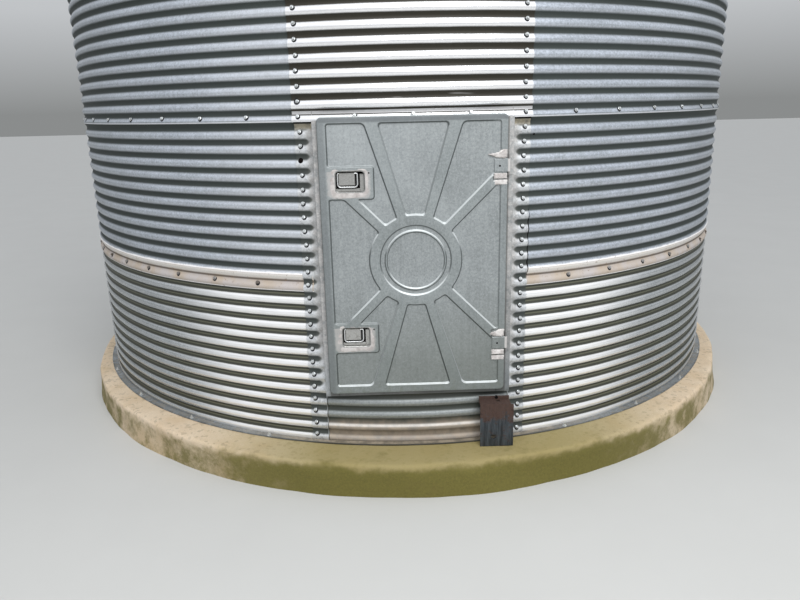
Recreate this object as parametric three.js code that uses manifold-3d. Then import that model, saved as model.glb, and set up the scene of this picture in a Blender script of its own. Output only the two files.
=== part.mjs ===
// A small round grain silo of corrugated steel on a concrete pad, with a walk-in door.
// Millimetres, +Z up. The door faces -Y. The origin is the middle of the pad's underside.

import * as THREE from 'three';
import { mergeVertices } from 'three/addons/utils/BufferGeometryUtils.js';
import Module from 'manifold-3d';

const wasm = await Module();
wasm.setup();

// Wall: corrugated rings, bolted along every ring joint
const PITCH = 67.733;              // 2 2/3 in from crest to crest
const WAVE_DEPTH = 12.7;           // 1/2 in from crest to valley
const CREST_UP = 0.22;             // the lowest crest above the wall's foot, in pitches
const RING_PITCHES = 12;           // 32 in rings
const RINGS = 4;
const DOOR_RINGS = 3;              // rings beside the door and over it, with a header sheet of their own
const BOLTS = 52;                  // bolts round the wall, four pitches apart
const SHEETS_ROUND = 4;
const RADIUS = BOLTS * 4 * PITCH / (2 * Math.PI);
const SHEET = 3;                   // least thickness, in the valleys
const FIT = 0.3;                   // gap between pieces that touch
const SEAM_LAP = 30;               // a sheet runs this far past its seam bolts

// Foundation
const PAD_HEIGHT = 180;
const PAD_HALF_X = 2360;           // the pad is a little out of round
const PAD_HALF_Y = 2490;
const PAD_SIDES = 40;
const ANGLE_THICK = 5;
const ANGLE_OUT = 33;              // leg of the base angle beyond the crests
const ANGLE_PARTS = 4;

// Door, its frame and where they stand on the wall. "Out" is measured from the crest line
// at the door's centre, and "up" from the lower edge of the wall.
const DOOR_LEFT = -446;
const DOOR_RIGHT = 437.5;
const DOOR_BOTTOM = 293;
const DOOR_TOP = 1655;
const FIELDS_LEFT = -408;          // the raised border is wider on the latch side
const FIELDS_RIGHT = 409;
const FIELDS_BOTTOM = 330;
const FIELDS_TOP = 1627;
const DOOR_OUT = 25;               // raised face
const DOOR_FIELD = 16;             // pressed-in fields
const DOOR_SKIN = 3;
const DOOR_BACK = 5;               // rear edge of the door's rim
const DOOR_CORNER = 22;
const FIELD_CORNER = 14;
const CLEAR = 400;                 // half width of the clear doorway
const CLEAR_BOTTOM = 320;
const CLEAR_TOP = 1590;
const FRAME_HALF_W = 470;
const FRAME_THICK = 3;
const FRAME_FOOT = 270;            // the jambs' flat faces end here, just over the corrugated sill
const REVEAL = 72;                 // depth of the frame behind its face
const SILL_PITCHES = 4;            // corrugations under the door
const RAIL_PLAY = 5;               // between a rail's shelf and the jamb's web
const SHELF_FACETS = 8;

// Pressed pattern
const HUB_UP = 975;
const HUB_R = 219;
const GROOVE_R = 176;
const BEAD_R = 145;
const DISC_R = 136;
const GROOVE_OUT = 18;
const DISC_OUT = 20;
const STEEP_RAY = 17;              // degrees from the vertical
const SLANT_RAY = 45;
const RAY_AT_HUB = 37;             // a ray's width where it leaves the hub
const RAY_AT_BORDER = 53;
const SLANT_RAY_SPREAD = 3;        // how much wider a slanted ray is at its far end
const RAY_REACH = 660;             // from the hub's middle to the border

// Latches
const LATCH_X = -302;
const LATCH_UPS = [1359, 593];
const LATCH_PAD = [215, 158];
const LATCH_CUT = [140, 101];
const TRAY_DEPTH = 42;
const TRAY_WALL = 2.5;
const RING_R = 3.5;
const RING_HALF_W = 47;
const RING_DROP = 64;
const RING_X = LATCH_X - 11;
const RING_RISE = 39;              // pivot above the latch's middle
const PIVOT_OUT = 14;
const BLOCK_HALF_W = 37;
const BLOCK_RISE = 41;
const BLOCK_DROP = 16;
const BLOCK_OUT = 10;
const EAR_X = 28;
const EAR_HALF_W = 2.5;
const EAR_RISE = 6;                // ears above and below the pivot
const EAR_DROP = 8;
const EAR_PAST_PIVOT = 7;
const RING_PLAY = 0.6;
const PAD_CORNER = 10;

// Hinges
const HINGE_UPS = [1418, 542];
const HINGE_POCKET = [70.5, 150];
const PIN_X = DOOR_RIGHT + 7.5;
const PIN_OUT = 14;
const PIN_R = 4;
const KNUCKLE_R = 6.8;
const KNUCKLE_H = 60;
const LUG_H = 14;
const LUG_GAP = 1.5;
const LUG_HALF_W = 4;
const PIN_PLAY = 0.4;
const LEAF_THICK = 4;
const LEAF_SETBACK = 8;            // from the pocket's inner side
const PLATE_THICK = 2.5;           // hinge plate on the jamb

// Rusty bracket under the door
const BRACKET_X = [314, 484];
const BRACKET_SHELF_UP = 228;
const BRACKET_OUT = 68;
const BRACKET_BACK = FIT;            // its lip is bolted to the right jamb
const BRACKET_THICK = 8;
const BRACKET_LIP = 19;            // above the shelf
const BRACKET_NOTCH = 14;          // the shelf ends short of the front plate's right edge
const BRACKET_HOLE_R = 13;
const FRONT_HOLE = [383, 48];      // x and up
const SHELF_HOLE = [410, 8];       // x and out

// Roof
const ROOF_SIDES = 13;             // one panel over every four bolts
const ROOF_SLOPE = 30 * Math.PI / 180;
const EAVE_OVERHANG = 49;          // past the wall at the middle of a panel
const ROOF_THICK = 4;
const RIB_W = 56;
const RIB_H = 38;
const COLLAR_R = 400;
const COLLAR_H = 130;
const COLLAR_THICK = 8;
const LID_R = 440;
const LID_RISE = 120;
const LID_LIP = 50;
const LID_THICK = 4;
const LID_CROWN_R = 60;
const LID_CROWN_RISE = 8;
const COLLAR_SINK = 30;            // the collar's foot hangs below the roof's inner edge
const COLLAR_SIDES = 39;

const RING_HEIGHT = RING_PITCHES * PITCH;
const WALL_FOOT = PAD_HEIGHT + ANGLE_THICK + 2 * FIT;
const WALL_TOP = RINGS * RING_HEIGHT;
const STEP = 2 * Math.PI / BOLTS;
const LAP = SEAM_LAP / RADIUS;
const DOOR_SPACES = 2;             // bolt spaces from the door's centre to its seam bolts
const FACET_SPACES = 1.5;          // bolt spaces in one flat of the wall
const DOORWAY_HEIGHT = (DOOR_RINGS - 1) * RING_HEIGHT;
const SLIT = FIT / RADIUS;         // the same gap as an angle

const COLOURS = {
  zinc_dull: [0x8b929b, 0.55, 0.6],
  zinc_bright: [0xc3c8ce, 0.35, 0.8],
  door_zinc: [0x93a09f, 0.5, 0.6],
  frame_zinc: [0xa7aaa8, 0.55, 0.6],
  hardware: [0x9aa0a2, 0.4, 0.8],
  rusty_steel: [0x5b4440, 0.8, 0.3],
  concrete: [0xb3a483, 0.95, 0],
};

const silo = new THREE.Group();

function add(name, geometry, colour, parent = silo) {
  const [color, roughness, metalness] = COLOURS[colour];
  const mesh = new THREE.Mesh(geometry, new THREE.MeshStandardMaterial({ color, roughness, metalness }));
  mesh.name = name;
  parent.add(mesh);
  return mesh;
}

// Solids
function solid(geometry) {
  const bare = geometry.clone();
  bare.deleteAttribute('normal');
  bare.deleteAttribute('uv');
  const merged = mergeVertices(bare, 1e-4);
  return new wasm.Manifold(new wasm.Mesh({
    numProp: 3,
    vertProperties: new Float32Array(merged.attributes.position.array),
    triVerts: new Uint32Array(merged.index.array),
  }));
}

function shell(manifold) {
  const mesh = manifold.getMesh();
  const geometry = new THREE.BufferGeometry();
  geometry.setAttribute('position', new THREE.BufferAttribute(new Float32Array(mesh.vertProperties), 3));
  geometry.setIndex(new THREE.BufferAttribute(new Uint32Array(mesh.triVerts), 1));
  geometry.computeVertexNormals();
  return geometry;
}

const join = (...parts) => parts.reduce((whole, part) => whole.add(part));

function block(x0, x1, y0, y1, z0, z1) {
  const box = new THREE.BoxGeometry(x1 - x0, y1 - y0, z1 - z0);
  return solid(box.translate((x0 + x1) / 2, (y0 + y1) / 2, (z0 + z1) / 2));
}

function plate(shape, z0, z1, curveSegments = 6) {
  const made = new THREE.ExtrudeGeometry(shape, { depth: z1 - z0, bevelEnabled: false, curveSegments });
  return solid(made.translate(0, 0, z0));
}

function disc(x, y, r, z0, z1, sides = 36) {
  const made = new THREE.CylinderGeometry(r, r, z1 - z0, sides).rotateX(Math.PI / 2);
  return solid(made.translate(x, y, (z0 + z1) / 2));
}

function roundedRect(x0, x1, y0, y1, r) {
  const s = new THREE.Shape();
  s.moveTo(x0 + r, y0);
  s.lineTo(x1 - r, y0);
  s.absarc(x1 - r, y0 + r, r, -Math.PI / 2, 0);
  s.lineTo(x1, y1 - r);
  s.absarc(x1 - r, y1 - r, r, 0, Math.PI / 2);
  s.lineTo(x0 + r, y1);
  s.absarc(x0 + r, y1 - r, r, Math.PI / 2, Math.PI);
  s.lineTo(x0, y0 + r);
  s.absarc(x0 + r, y0 + r, r, Math.PI, 1.5 * Math.PI);
  return s;
}

// A closed body through a row of like sections, each a list of points, with its two ends capped
function loft(sections, outline) {
  const count = outline.length;
  const positions = sections.flat(2);
  const index = [];
  for (let s = 0; s < sections.length - 1; s += 1) {
    for (let i = 0; i < count; i += 1) {
      const j = (i + 1) % count;
      const [a, b] = [s * count + i, s * count + j];
      index.push(a, b + count, b, a, a + count, b + count);
    }
  }
  const last = (sections.length - 1) * count;
  for (const [a, b, c] of THREE.ShapeUtils.triangulateShape(outline, [])) {
    index.push(a, b, c, last + c, last + b, last + a);
  }
  const geometry = new THREE.BufferGeometry();
  geometry.setAttribute('position', new THREE.Float32BufferAttribute(positions, 3));
  geometry.setIndex(index);
  geometry.computeVertexNormals();
  return geometry;
}

// The corners of the many-sided wall: at every bolt of the door unit, and wider apart round the rest
function wallCorners() {
  const corners = [];
  for (let k = -DOOR_SPACES; k < DOOR_SPACES; k += 1) corners.push(k * STEP);
  for (let k = DOOR_SPACES; k < BOLTS - DOOR_SPACES; k += FACET_SPACES) corners.push(k * STEP);
  return [-1, 0, 1].flatMap((turn) => corners.map((angle) => angle + turn * 2 * Math.PI));
}
const CORNERS = wallCorners();

// Where that wall meets an angle, as a share of its radius at the corners
function chord(angle) {
  const next = CORNERS.findIndex((corner) => corner > angle + 1e-9);
  const [low, high] = [CORNERS[next - 1], CORNERS[next]];
  return Math.cos((high - low) / 2) / Math.cos(angle - (low + high) / 2);
}

// A wall section (radius, height) swept round the silo between two angles, from -Y towards +X
function sweep(profile, from, to) {
  const between = CORNERS.filter((corner) => corner > from + 1e-4 && corner < to - 1e-4);
  const angles = [from, ...between, to];
  const sections = angles.map((angle) => {
    const reach = chord(angle);
    return profile.map(([r, z]) => [r * reach * Math.sin(angle), -r * reach * Math.cos(angle), z]);
  });
  return loft(sections, profile.map(([r, z]) => new THREE.Vector2(r, z)));
}

// The wall's radius at a height in pitches, on the straight flanks between crests and valleys
function waveRadius(up) {
  const past = up - CREST_UP - Math.floor(up - CREST_UP);
  return RADIUS - 2 * WAVE_DEPTH * Math.min(past, 1 - past);
}

// The section of a corrugated sheet, with a crest or a valley at every half pitch from CREST_UP
function waves(firstPitch, lastPitch) {
  const inner = RADIUS - WAVE_DEPTH - SHEET;
  const levels = [firstPitch];
  const firstBend = Math.ceil(2 * (firstPitch - CREST_UP));
  for (let half = firstBend; CREST_UP + half / 2 < lastPitch; half += 1) levels.push(CREST_UP + half / 2);
  const outer = levels.map((up) => [waveRadius(up), WALL_FOOT + up * PITCH]);
  const top = WALL_FOOT + lastPitch * PITCH - FIT;
  return [[inner, WALL_FOOT + firstPitch * PITCH], ...outer, [waveRadius(lastPitch), top], [inner, top]];
}

// Foundation
function buildPad() {
  const outline = new THREE.Shape();
  for (let i = 0; i < PAD_SIDES; i += 1) {
    const a = (i + 0.5) * 2 * Math.PI / PAD_SIDES;
    const [x, y] = [PAD_HALF_X * Math.cos(a), PAD_HALF_Y * Math.sin(a)];
    if (i === 0) outline.moveTo(x, y);
    else outline.lineTo(x, y);
  }
  const pad = new THREE.ExtrudeGeometry(outline, { depth: PAD_HEIGHT, bevelEnabled: false });
  add('concrete_pad', pad, 'concrete');
}

function buildBaseAngle() {
  const inner = RADIUS - WAVE_DEPTH - 2 * SHEET;
  const outer = RADIUS + ANGLE_OUT;
  const low = PAD_HEIGHT + FIT;
  const leg = [[inner, low], [outer, low], [outer, low + ANGLE_THICK], [inner, low + ANGLE_THICK]];
  const span = 2 * Math.PI / ANGLE_PARTS;
  for (let i = 0; i < ANGLE_PARTS; i += 1) {
    const from = (i + 0.5) * span;
    add(`base_angle_${i + 1}`, sweep(leg, from, from + span - SLIT), 'zinc_dull');
  }
}

// Wall
function buildWall() {
  for (let ring = 0; ring < RINGS; ring += 1) {
    const profile = waves(ring * RING_PITCHES, (ring + 1) * RING_PITCHES);
    const beside = ring < DOOR_RINGS;
    const spaces = (BOLTS - (beside ? 2 * DOOR_SPACES : 0)) / SHEETS_ROUND;
    const start = beside ? DOOR_SPACES : DOOR_SPACES + Math.floor(spaces / 2);
    for (let i = 0; i < SHEETS_ROUND; i += 1) {
      const from = (start + i * spaces) * STEP + LAP;
      const last = beside && i === SHEETS_ROUND - 1;
      const to = last ? (BOLTS - DOOR_SPACES) * STEP - LAP : from + spaces * STEP;
      const name = `ring${ring + 1}_sheet_${i + 1}`;
      add(name, sweep(profile, from, to - SLIT), ring === 0 ? 'zinc_bright' : 'zinc_dull');
    }
  }
  const edge = DOOR_SPACES * STEP + LAP - SLIT;
  const header = waves((DOOR_RINGS - 1) * RING_PITCHES, DOOR_RINGS * RING_PITCHES);
  add('header_sheet', sweep(header, -edge, edge), 'zinc_bright');
}

// Door frame. What stands square to the door is drawn in x, up and out, and turned as one.
const doorway = new THREE.Group();
doorway.rotation.x = Math.PI / 2;
doorway.position.set(0, -RADIUS, WALL_FOOT);
silo.add(doorway);

const toWall = (manifold) => manifold.rotate([90, 0, 0]).translate([0, -RADIUS, WALL_FOOT]);

function buildJamb(name, side) {
  const edge = DOOR_SPACES * STEP + LAP - SLIT;
  const meet = Math.asin((FRAME_HALF_W - FRAME_THICK) / RADIUS);
  const span = side > 0 ? [meet, edge] : [-edge, -meet];
  const flange = solid(sweep(waves(0, (DOOR_RINGS - 1) * RING_PITCHES), ...span));
  const near = (a, b) => (side > 0 ? [a, b] : [-b, -a]);
  const top = DOORWAY_HEIGHT - FIT;
  const face = block(...near(CLEAR, FRAME_HALF_W), FRAME_FOOT, top, -FRAME_THICK, 0);
  const web = block(...near(FRAME_HALF_W - FRAME_THICK, FRAME_HALF_W), FRAME_FOOT, top, -REVEAL, 0);
  const reveal = block(...near(CLEAR, CLEAR + FRAME_THICK), CLEAR_BOTTOM, CLEAR_TOP, -REVEAL, 0);
  add(name, shell(join(toWall(join(face, web, reveal)), flange)), 'frame_zinc');
}

// The head and sill rails close the space between the flat frame and the round wall
function buildRail(name, low, high, shelfUp, revealUp) {
  const reach = CLEAR - FIT;
  const wide = FRAME_HALF_W - FRAME_THICK - RAIL_PLAY;
  const back = RADIUS - WAVE_DEPTH - SHEET;
  const behind = -FRAME_THICK - FIT;
  const shelf = new THREE.Shape();
  shelf.moveTo(-reach, 0);
  shelf.lineTo(reach, 0);
  shelf.lineTo(reach, behind);
  shelf.lineTo(wide, behind);
  const end = Math.asin(wide / back);
  for (let i = 0; i <= SHELF_FACETS; i += 1) {
    const a = end * (1 - 2 * i / SHELF_FACETS);
    shelf.lineTo(back * Math.sin(a), back * Math.cos(a) - RADIUS);
  }
  shelf.lineTo(-wide, behind);
  shelf.lineTo(-reach, behind);
  const web = new THREE.ExtrudeGeometry(shelf, { depth: FRAME_THICK, bevelEnabled: false });
  web.rotateX(Math.PI / 2).translate(0, shelfUp + FRAME_THICK, 0);
  const face = block(-reach, reach, low, high, -FRAME_THICK, 0);
  const reveal = block(-reach, reach, revealUp, revealUp + FRAME_THICK, -REVEAL, 0);
  add(name, shell(join(face, solid(web), reveal)), 'frame_zinc', doorway);
}

function buildDoorFrame() {
  buildJamb('left_jamb', -1);
  buildJamb('right_jamb', 1);
  const headTop = DOORWAY_HEIGHT - FIT;
  buildRail('door_head', CLEAR_TOP, headTop, headTop - FRAME_THICK, CLEAR_TOP);
  const sillTop = SILL_PITCHES * PITCH;
  buildRail('door_sill', sillTop, CLEAR_BOTTOM, sillTop, CLEAR_BOTTOM - FRAME_THICK);
  const reach = Math.asin((FRAME_HALF_W - FRAME_THICK - FIT) / RADIUS);
  add('sill_sheet', sweep(waves(0, SILL_PITCHES), -reach, reach), 'zinc_dull');
}

// Door
function ray(degrees, outerWidth) {
  const a = degrees * Math.PI / 180;
  const far = RAY_REACH + 2 * RAY_AT_BORDER;
  const along = (d, half) => [
    d * Math.sin(a) + half * Math.cos(a),
    HUB_UP + d * Math.cos(a) - half * Math.sin(a),
  ];
  const slope = (outerWidth - RAY_AT_HUB) / (RAY_REACH - HUB_R) / 2;
  const half = (d) => RAY_AT_HUB / 2 + (d - HUB_R) * slope;
  const s = new THREE.Shape();
  s.moveTo(...along(DISC_R, half(DISC_R)));
  s.lineTo(...along(far, half(far)));
  s.lineTo(...along(far, -half(far)));
  s.lineTo(...along(DISC_R, -half(DISC_R)));
  return plate(s, DOOR_FIELD - DOOR_SKIN, DOOR_OUT);
}

function buildDoorPanel() {
  const outline = (inset, r) => roundedRect(
    DOOR_LEFT + inset, DOOR_RIGHT - inset, DOOR_BOTTOM + inset, DOOR_TOP - inset, r,
  );
  const fields = roundedRect(FIELDS_LEFT, FIELDS_RIGHT, FIELDS_BOTTOM, FIELDS_TOP, FIELD_CORNER);
  const skinBack = DOOR_FIELD - DOOR_SKIN;
  const skin = plate(outline(0, DOOR_CORNER), skinBack, DOOR_FIELD);
  const border = plate(outline(0, DOOR_CORNER), DOOR_BACK, DOOR_OUT)
    .subtract(plate(fields, skinBack - 1, DOOR_OUT + 1))
    .subtract(plate(outline(DOOR_SKIN, DOOR_CORNER - DOOR_SKIN), DOOR_BACK - 1, skinBack));
  const inside = plate(outline(FIELD_CORNER, FIELD_CORNER), skinBack, DOOR_OUT);
  const rays = [-SLANT_RAY, SLANT_RAY, 180 - SLANT_RAY, 180 + SLANT_RAY]
    .map((degrees) => ray(degrees, RAY_AT_HUB + SLANT_RAY_SPREAD))
    .concat([-STEEP_RAY, STEEP_RAY, 180 - STEEP_RAY, 180 + STEEP_RAY]
      .map((degrees) => ray(degrees, RAY_AT_BORDER)));
  const ringed = (outer, inner, z0, z1) => disc(0, HUB_UP, outer, z0, z1)
    .subtract(disc(0, HUB_UP, inner, z0 - 1, z1 + 1));
  let panel = join(skin, border, join(...rays).intersect(inside), disc(0, HUB_UP, HUB_R, skinBack, DOOR_OUT));
  panel = panel.subtract(ringed(GROOVE_R, BEAD_R, GROOVE_OUT, DOOR_OUT + 1));
  panel = panel.subtract(disc(0, HUB_UP, DISC_R, DISC_OUT, DOOR_OUT + 1));
  for (const up of LATCH_UPS) {
    const [w, h] = LATCH_PAD.map((size) => size / 2);
    const [cw, ch] = LATCH_CUT.map((size) => size / 2);
    const pad = roundedRect(LATCH_X - w, LATCH_X + w, up - h, up + h, PAD_CORNER);
    panel = panel.add(plate(pad, skinBack, DOOR_OUT));
    panel = panel.subtract(block(LATCH_X - cw, LATCH_X + cw, up - ch, up + ch, 0, DOOR_OUT + 1));
  }
  for (const up of HINGE_UPS) {
    const [w, h] = HINGE_POCKET;
    panel = panel.subtract(
      block(DOOR_RIGHT - w, DOOR_RIGHT + 1, up - h / 2, up + h / 2, DOOR_FIELD, DOOR_OUT + 1),
    );
  }
  add('door_panel', shell(panel), 'door_zinc', doorway);
}

// A latch is a tray let into the door, with a trigger block that carries the pull ring
function buildLatch(place, up) {
  const [cw, ch] = LATCH_CUT.map((size) => size / 2 - FIT);
  const front = DOOR_OUT - 1;
  const back = front - TRAY_DEPTH;
  const tray = block(LATCH_X - cw, LATCH_X + cw, up - ch, up + ch, back, front).subtract(block(
    LATCH_X - cw + TRAY_WALL, LATCH_X + cw - TRAY_WALL,
    up - ch + TRAY_WALL, up + ch - TRAY_WALL, back + TRAY_WALL, front + 1,
  ));
  const trigger = block(
    RING_X - BLOCK_HALF_W, RING_X + BLOCK_HALF_W, up - BLOCK_DROP, up + BLOCK_RISE, back, BLOCK_OUT,
  );
  const pivotUp = up + RING_RISE;
  const ears = [-1, 1].map((side) => {
    const x = RING_X + side * EAR_X;
    return block(
      x - EAR_HALF_W, x + EAR_HALF_W, pivotUp - EAR_DROP, pivotUp + EAR_RISE,
      BLOCK_OUT - 1, PIVOT_OUT + EAR_PAST_PIVOT,
    );
  });
  const boreR = RING_R + RING_PLAY;
  const bore = solid(new THREE.CylinderGeometry(boreR, boreR, 2 * RING_HALF_W, 16)
    .rotateZ(Math.PI / 2).translate(RING_X, pivotUp, PIVOT_OUT));
  add(`${place}_latch_tray`, shell(join(tray, trigger, ...ears).subtract(bore)), 'hardware', doorway);

  const rod = (x0, x1, y0, y1) => {
    const length = Math.max(x1 - x0, y1 - y0) + (x1 > x0 ? 0 : 2 * RING_R);
    const made = new THREE.CylinderGeometry(RING_R, RING_R, length, 12);
    if (x1 > x0) made.rotateZ(Math.PI / 2);
    return solid(made.translate((x0 + x1) / 2, (y0 + y1) / 2, PIVOT_OUT));
  };
  const [left, right] = [RING_X - RING_HALF_W, RING_X + RING_HALF_W];
  const low = pivotUp - RING_DROP;
  const ring = join(
    rod(left, right, pivotUp, pivotUp), rod(left, right, low, low),
    rod(left, left, low, pivotUp), rod(right, right, low, pivotUp),
  );
  add(`${place}_latch_ring`, shell(ring), 'hardware', doorway);
}

// A hinge has a leaf with a knuckle on the door, and a plate with two lugs and the pin on the jamb
function buildHinge(place, up) {
  const [w, h] = HINGE_POCKET;
  const half = KNUCKLE_H / 2;
  const leafBack = DOOR_FIELD + FIT;
  const pin = (r, z0, z1, sides) => solid(new THREE.CylinderGeometry(r, r, z1 - z0, sides)
    .translate(PIN_X, (z0 + z1) / 2, PIN_OUT));
  const leafFrom = DOOR_RIGHT - w + LEAF_SETBACK;
  const leaf = block(leafFrom, PIN_X, up - half, up + half, leafBack, leafBack + LEAF_THICK)
    .add(pin(KNUCKLE_R, up - half, up + half, 24))
    .subtract(pin(PIN_R + PIN_PLAY, up - h, up + h, 24));
  add(`${place}_hinge_leaf`, shell(leaf), 'hardware', doorway);

  const [plateFrom, plateTo] = [PIN_X - LUG_HALF_W, FRAME_HALF_W - LUG_HALF_W];
  const plateHalf = half + LUG_GAP + LUG_H;
  const base = block(plateFrom, plateTo, up - plateHalf, up + plateHalf, FIT, FIT + PLATE_THICK);
  const lugs = [-1, 1].map((side) => {
    const middle = up + side * (half + LUG_GAP + LUG_H / 2);
    const [z0, z1] = [middle - LUG_H / 2, middle + LUG_H / 2];
    return block(plateFrom, PIN_X + LUG_HALF_W, z0, z1, FIT, PIN_OUT).add(pin(LUG_HALF_W, z0, z1, 24));
  });
  const post = pin(PIN_R, up - half - LUG_H, up + half + LUG_H, 24);
  add(`${place}_hinge_pin`, shell(join(base, ...lugs, post)), 'hardware', doorway);
}

// Rusty bent bracket bolted to the sill, to the right under the door
function buildBracket() {
  const [left, right] = BRACKET_X;
  const shelfTop = BRACKET_SHELF_UP;
  const shelfFoot = shelfTop - BRACKET_THICK;
  const front = block(left, right, -ANGLE_THICK, shelfTop, BRACKET_OUT - BRACKET_THICK, BRACKET_OUT)
    .subtract(disc(...FRONT_HOLE, BRACKET_HOLE_R, 0, 2 * BRACKET_OUT, 20));
  const [holeX, holeOut] = SHELF_HOLE;
  const hole = solid(
    new THREE.CylinderGeometry(BRACKET_HOLE_R, BRACKET_HOLE_R, 4 * BRACKET_THICK, 20)
      .translate(holeX, shelfTop, holeOut),
  );
  const shelf = block(left, right - BRACKET_NOTCH, shelfFoot, shelfTop, BRACKET_BACK, BRACKET_OUT)
    .subtract(hole);
  const lip = block(
    left, right - BRACKET_NOTCH, shelfFoot, shelfTop + BRACKET_LIP,
    BRACKET_BACK, BRACKET_BACK + BRACKET_THICK,
  );
  add('sill_bracket', shell(join(front, shelf, lip)), 'rusty_steel', doorway);
}

// Roof
const SIDE = 2 * Math.PI / ROOF_SIDES;
const EAVE_MID = RADIUS + EAVE_OVERHANG;
const WALL_HEAD = WALL_FOOT + WALL_TOP;
const WALL_RIM = waveRadius(RINGS * RING_PITCHES);   // where the roof rests on the wall
const EAVE_Z = WALL_HEAD - (EAVE_MID - WALL_RIM) * Math.tan(ROOF_SLOPE);
const roofZ = (reach) => EAVE_Z + (EAVE_MID - reach) * Math.tan(ROOF_SLOPE);

function buildRoofPanel(name, turn) {
  const normal = [Math.sin(ROOF_SLOPE), Math.cos(ROOF_SLOPE)];
  const section = (reach) => {
    const half = reach * Math.tan(SIDE / 2) - FIT;
    const rib = RIB_W / 2;
    const points = [
      [-half, 0], [half, 0], [half, RIB_H], [half - rib, RIB_H], [half - 1.5 * rib, ROOF_THICK],
      [-half + 1.5 * rib, ROOF_THICK], [-half + rib, RIB_H], [-half, RIB_H],
    ];
    return points.map(([s, h]) => [s, -(reach + h * normal[0]), roofZ(reach) + h * normal[1]]);
  };
  const eave = section(EAVE_MID);
  const outline = eave.map(([x, , z]) => new THREE.Vector2(x, z));
  const geometry = loft([eave, section(COLLAR_R + FIT)], outline);
  const mesh = add(name, geometry, 'zinc_dull');
  mesh.rotation.z = turn;
}

function buildRoof() {
  for (let i = 0; i < ROOF_SIDES; i += 1) buildRoofPanel(`roof_panel_${i + 1}`, i * SIDE);
  const roofTop = roofZ(COLLAR_R) + ROOF_THICK;
  const turned = (profile) => new THREE.LatheGeometry(
    profile.map(([r, z]) => new THREE.Vector2(r, z)), COLLAR_SIDES,
  ).rotateX(Math.PI / 2);
  const [foot, top] = [roofTop - COLLAR_SINK, roofTop + COLLAR_H];
  const bore = COLLAR_R - COLLAR_THICK;
  add('filler_collar', turned([
    [bore, foot], [COLLAR_R, foot], [COLLAR_R, top], [bore, top], [bore, foot],
  ]), 'zinc_dull');
  const lidFoot = top + FIT;
  const lipInner = LID_R - LID_THICK;
  add('roof_lid', turned([
    [0, lidFoot], [lipInner, lidFoot], [lipInner, lidFoot - LID_LIP], [LID_R, lidFoot - LID_LIP],
    [LID_R, lidFoot + LID_THICK], [LID_CROWN_R, lidFoot + LID_RISE],
    [0, lidFoot + LID_RISE + LID_CROWN_RISE],
  ]), 'zinc_dull');
}

buildPad();
buildBaseAngle();
buildWall();
buildDoorFrame();
buildDoorPanel();
buildLatch('upper', LATCH_UPS[0]);
buildLatch('lower', LATCH_UPS[1]);
buildHinge('upper', HINGE_UPS[0]);
buildHinge('lower', HINGE_UPS[1]);
buildBracket();
buildRoof();

export default silo;
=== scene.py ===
"""The looks of a small corrugated steel grain silo on a concrete pad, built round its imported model.

It is laid out as an add-on: each of the panel's buttons makes one group of pieces, and main() calls
them in order. All lengths are in metres, +Z is up, the door faces -Y, and the origin lies under the
pad's middle.
"""

import math
import random

import bmesh
import bpy
import numpy as np
from mathutils import Matrix, Vector
from mathutils.geometry import delaunay_2d_cdt


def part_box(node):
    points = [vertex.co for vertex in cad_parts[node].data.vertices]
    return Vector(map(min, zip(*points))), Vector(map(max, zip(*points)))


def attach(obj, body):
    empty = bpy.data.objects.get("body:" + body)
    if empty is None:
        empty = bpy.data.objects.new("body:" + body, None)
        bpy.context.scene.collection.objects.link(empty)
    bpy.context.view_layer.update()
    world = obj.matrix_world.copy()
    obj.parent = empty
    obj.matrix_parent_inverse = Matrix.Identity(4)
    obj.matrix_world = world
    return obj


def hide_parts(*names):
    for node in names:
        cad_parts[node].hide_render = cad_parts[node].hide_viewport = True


bl_info = {
    "name": "Corrugated Grain Silo",
    "version": (1, 0, 0),
    "blender": (4, 5, 0),
    "location": "View3D > Sidebar > Silo",
    "description": "Makes the visible pieces of a small grain silo with a walk-in door",
    "category": "Object",
}

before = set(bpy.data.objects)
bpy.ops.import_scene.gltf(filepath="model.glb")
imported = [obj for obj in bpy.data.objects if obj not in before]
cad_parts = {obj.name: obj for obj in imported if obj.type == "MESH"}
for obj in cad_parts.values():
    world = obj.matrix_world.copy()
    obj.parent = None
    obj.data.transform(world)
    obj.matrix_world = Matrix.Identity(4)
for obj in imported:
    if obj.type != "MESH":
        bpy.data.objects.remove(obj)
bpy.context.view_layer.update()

# Wall
PITCH = 0.067733                         # crest to crest
WAVE_DEPTH = 0.0127
CREST_UP = 0.22                          # the lowest crest above the wall's foot, in pitches
RING_PITCHES = 12
LAPPED_PITCHES = 12.9                    # how far a sheet reaches up, behind the next ring
TOP_PITCHES = 11.99                      # how far the uppermost sheets reach
RINGS = 4
SHEETS = 4                               # in each ring
BOLTS = 52
STEP = 2 * math.pi / BOLTS
RADIUS = BOLTS * 4 * PITCH / (2 * math.pi)
RING_HEIGHT = RING_PITCHES * PITCH
SEAM_LAP = 0.030
LAP = SEAM_LAP / RADIUS
DOOR_SPACES = 2                          # bolt spaces from the door's middle to the seams beside it
DOOR_SEAM = DOOR_SPACES * STEP
FLANGE_EDGE = DOOR_SEAM + LAP * 0.8
UNIT_TOP = 2 * RING_PITCHES              # in pitches; the jambs end here and the header begins
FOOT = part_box("ring1_sheet_1")[0].z
LAP_EDGE = (0.0, -0.04, 0.14, 0.14)      # each ring's lower edge, in pitches from the ring's foot
HEADER_EDGE = 0.13
HEM_TOP = 0.55                           # the header's folded hem ends here

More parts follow.
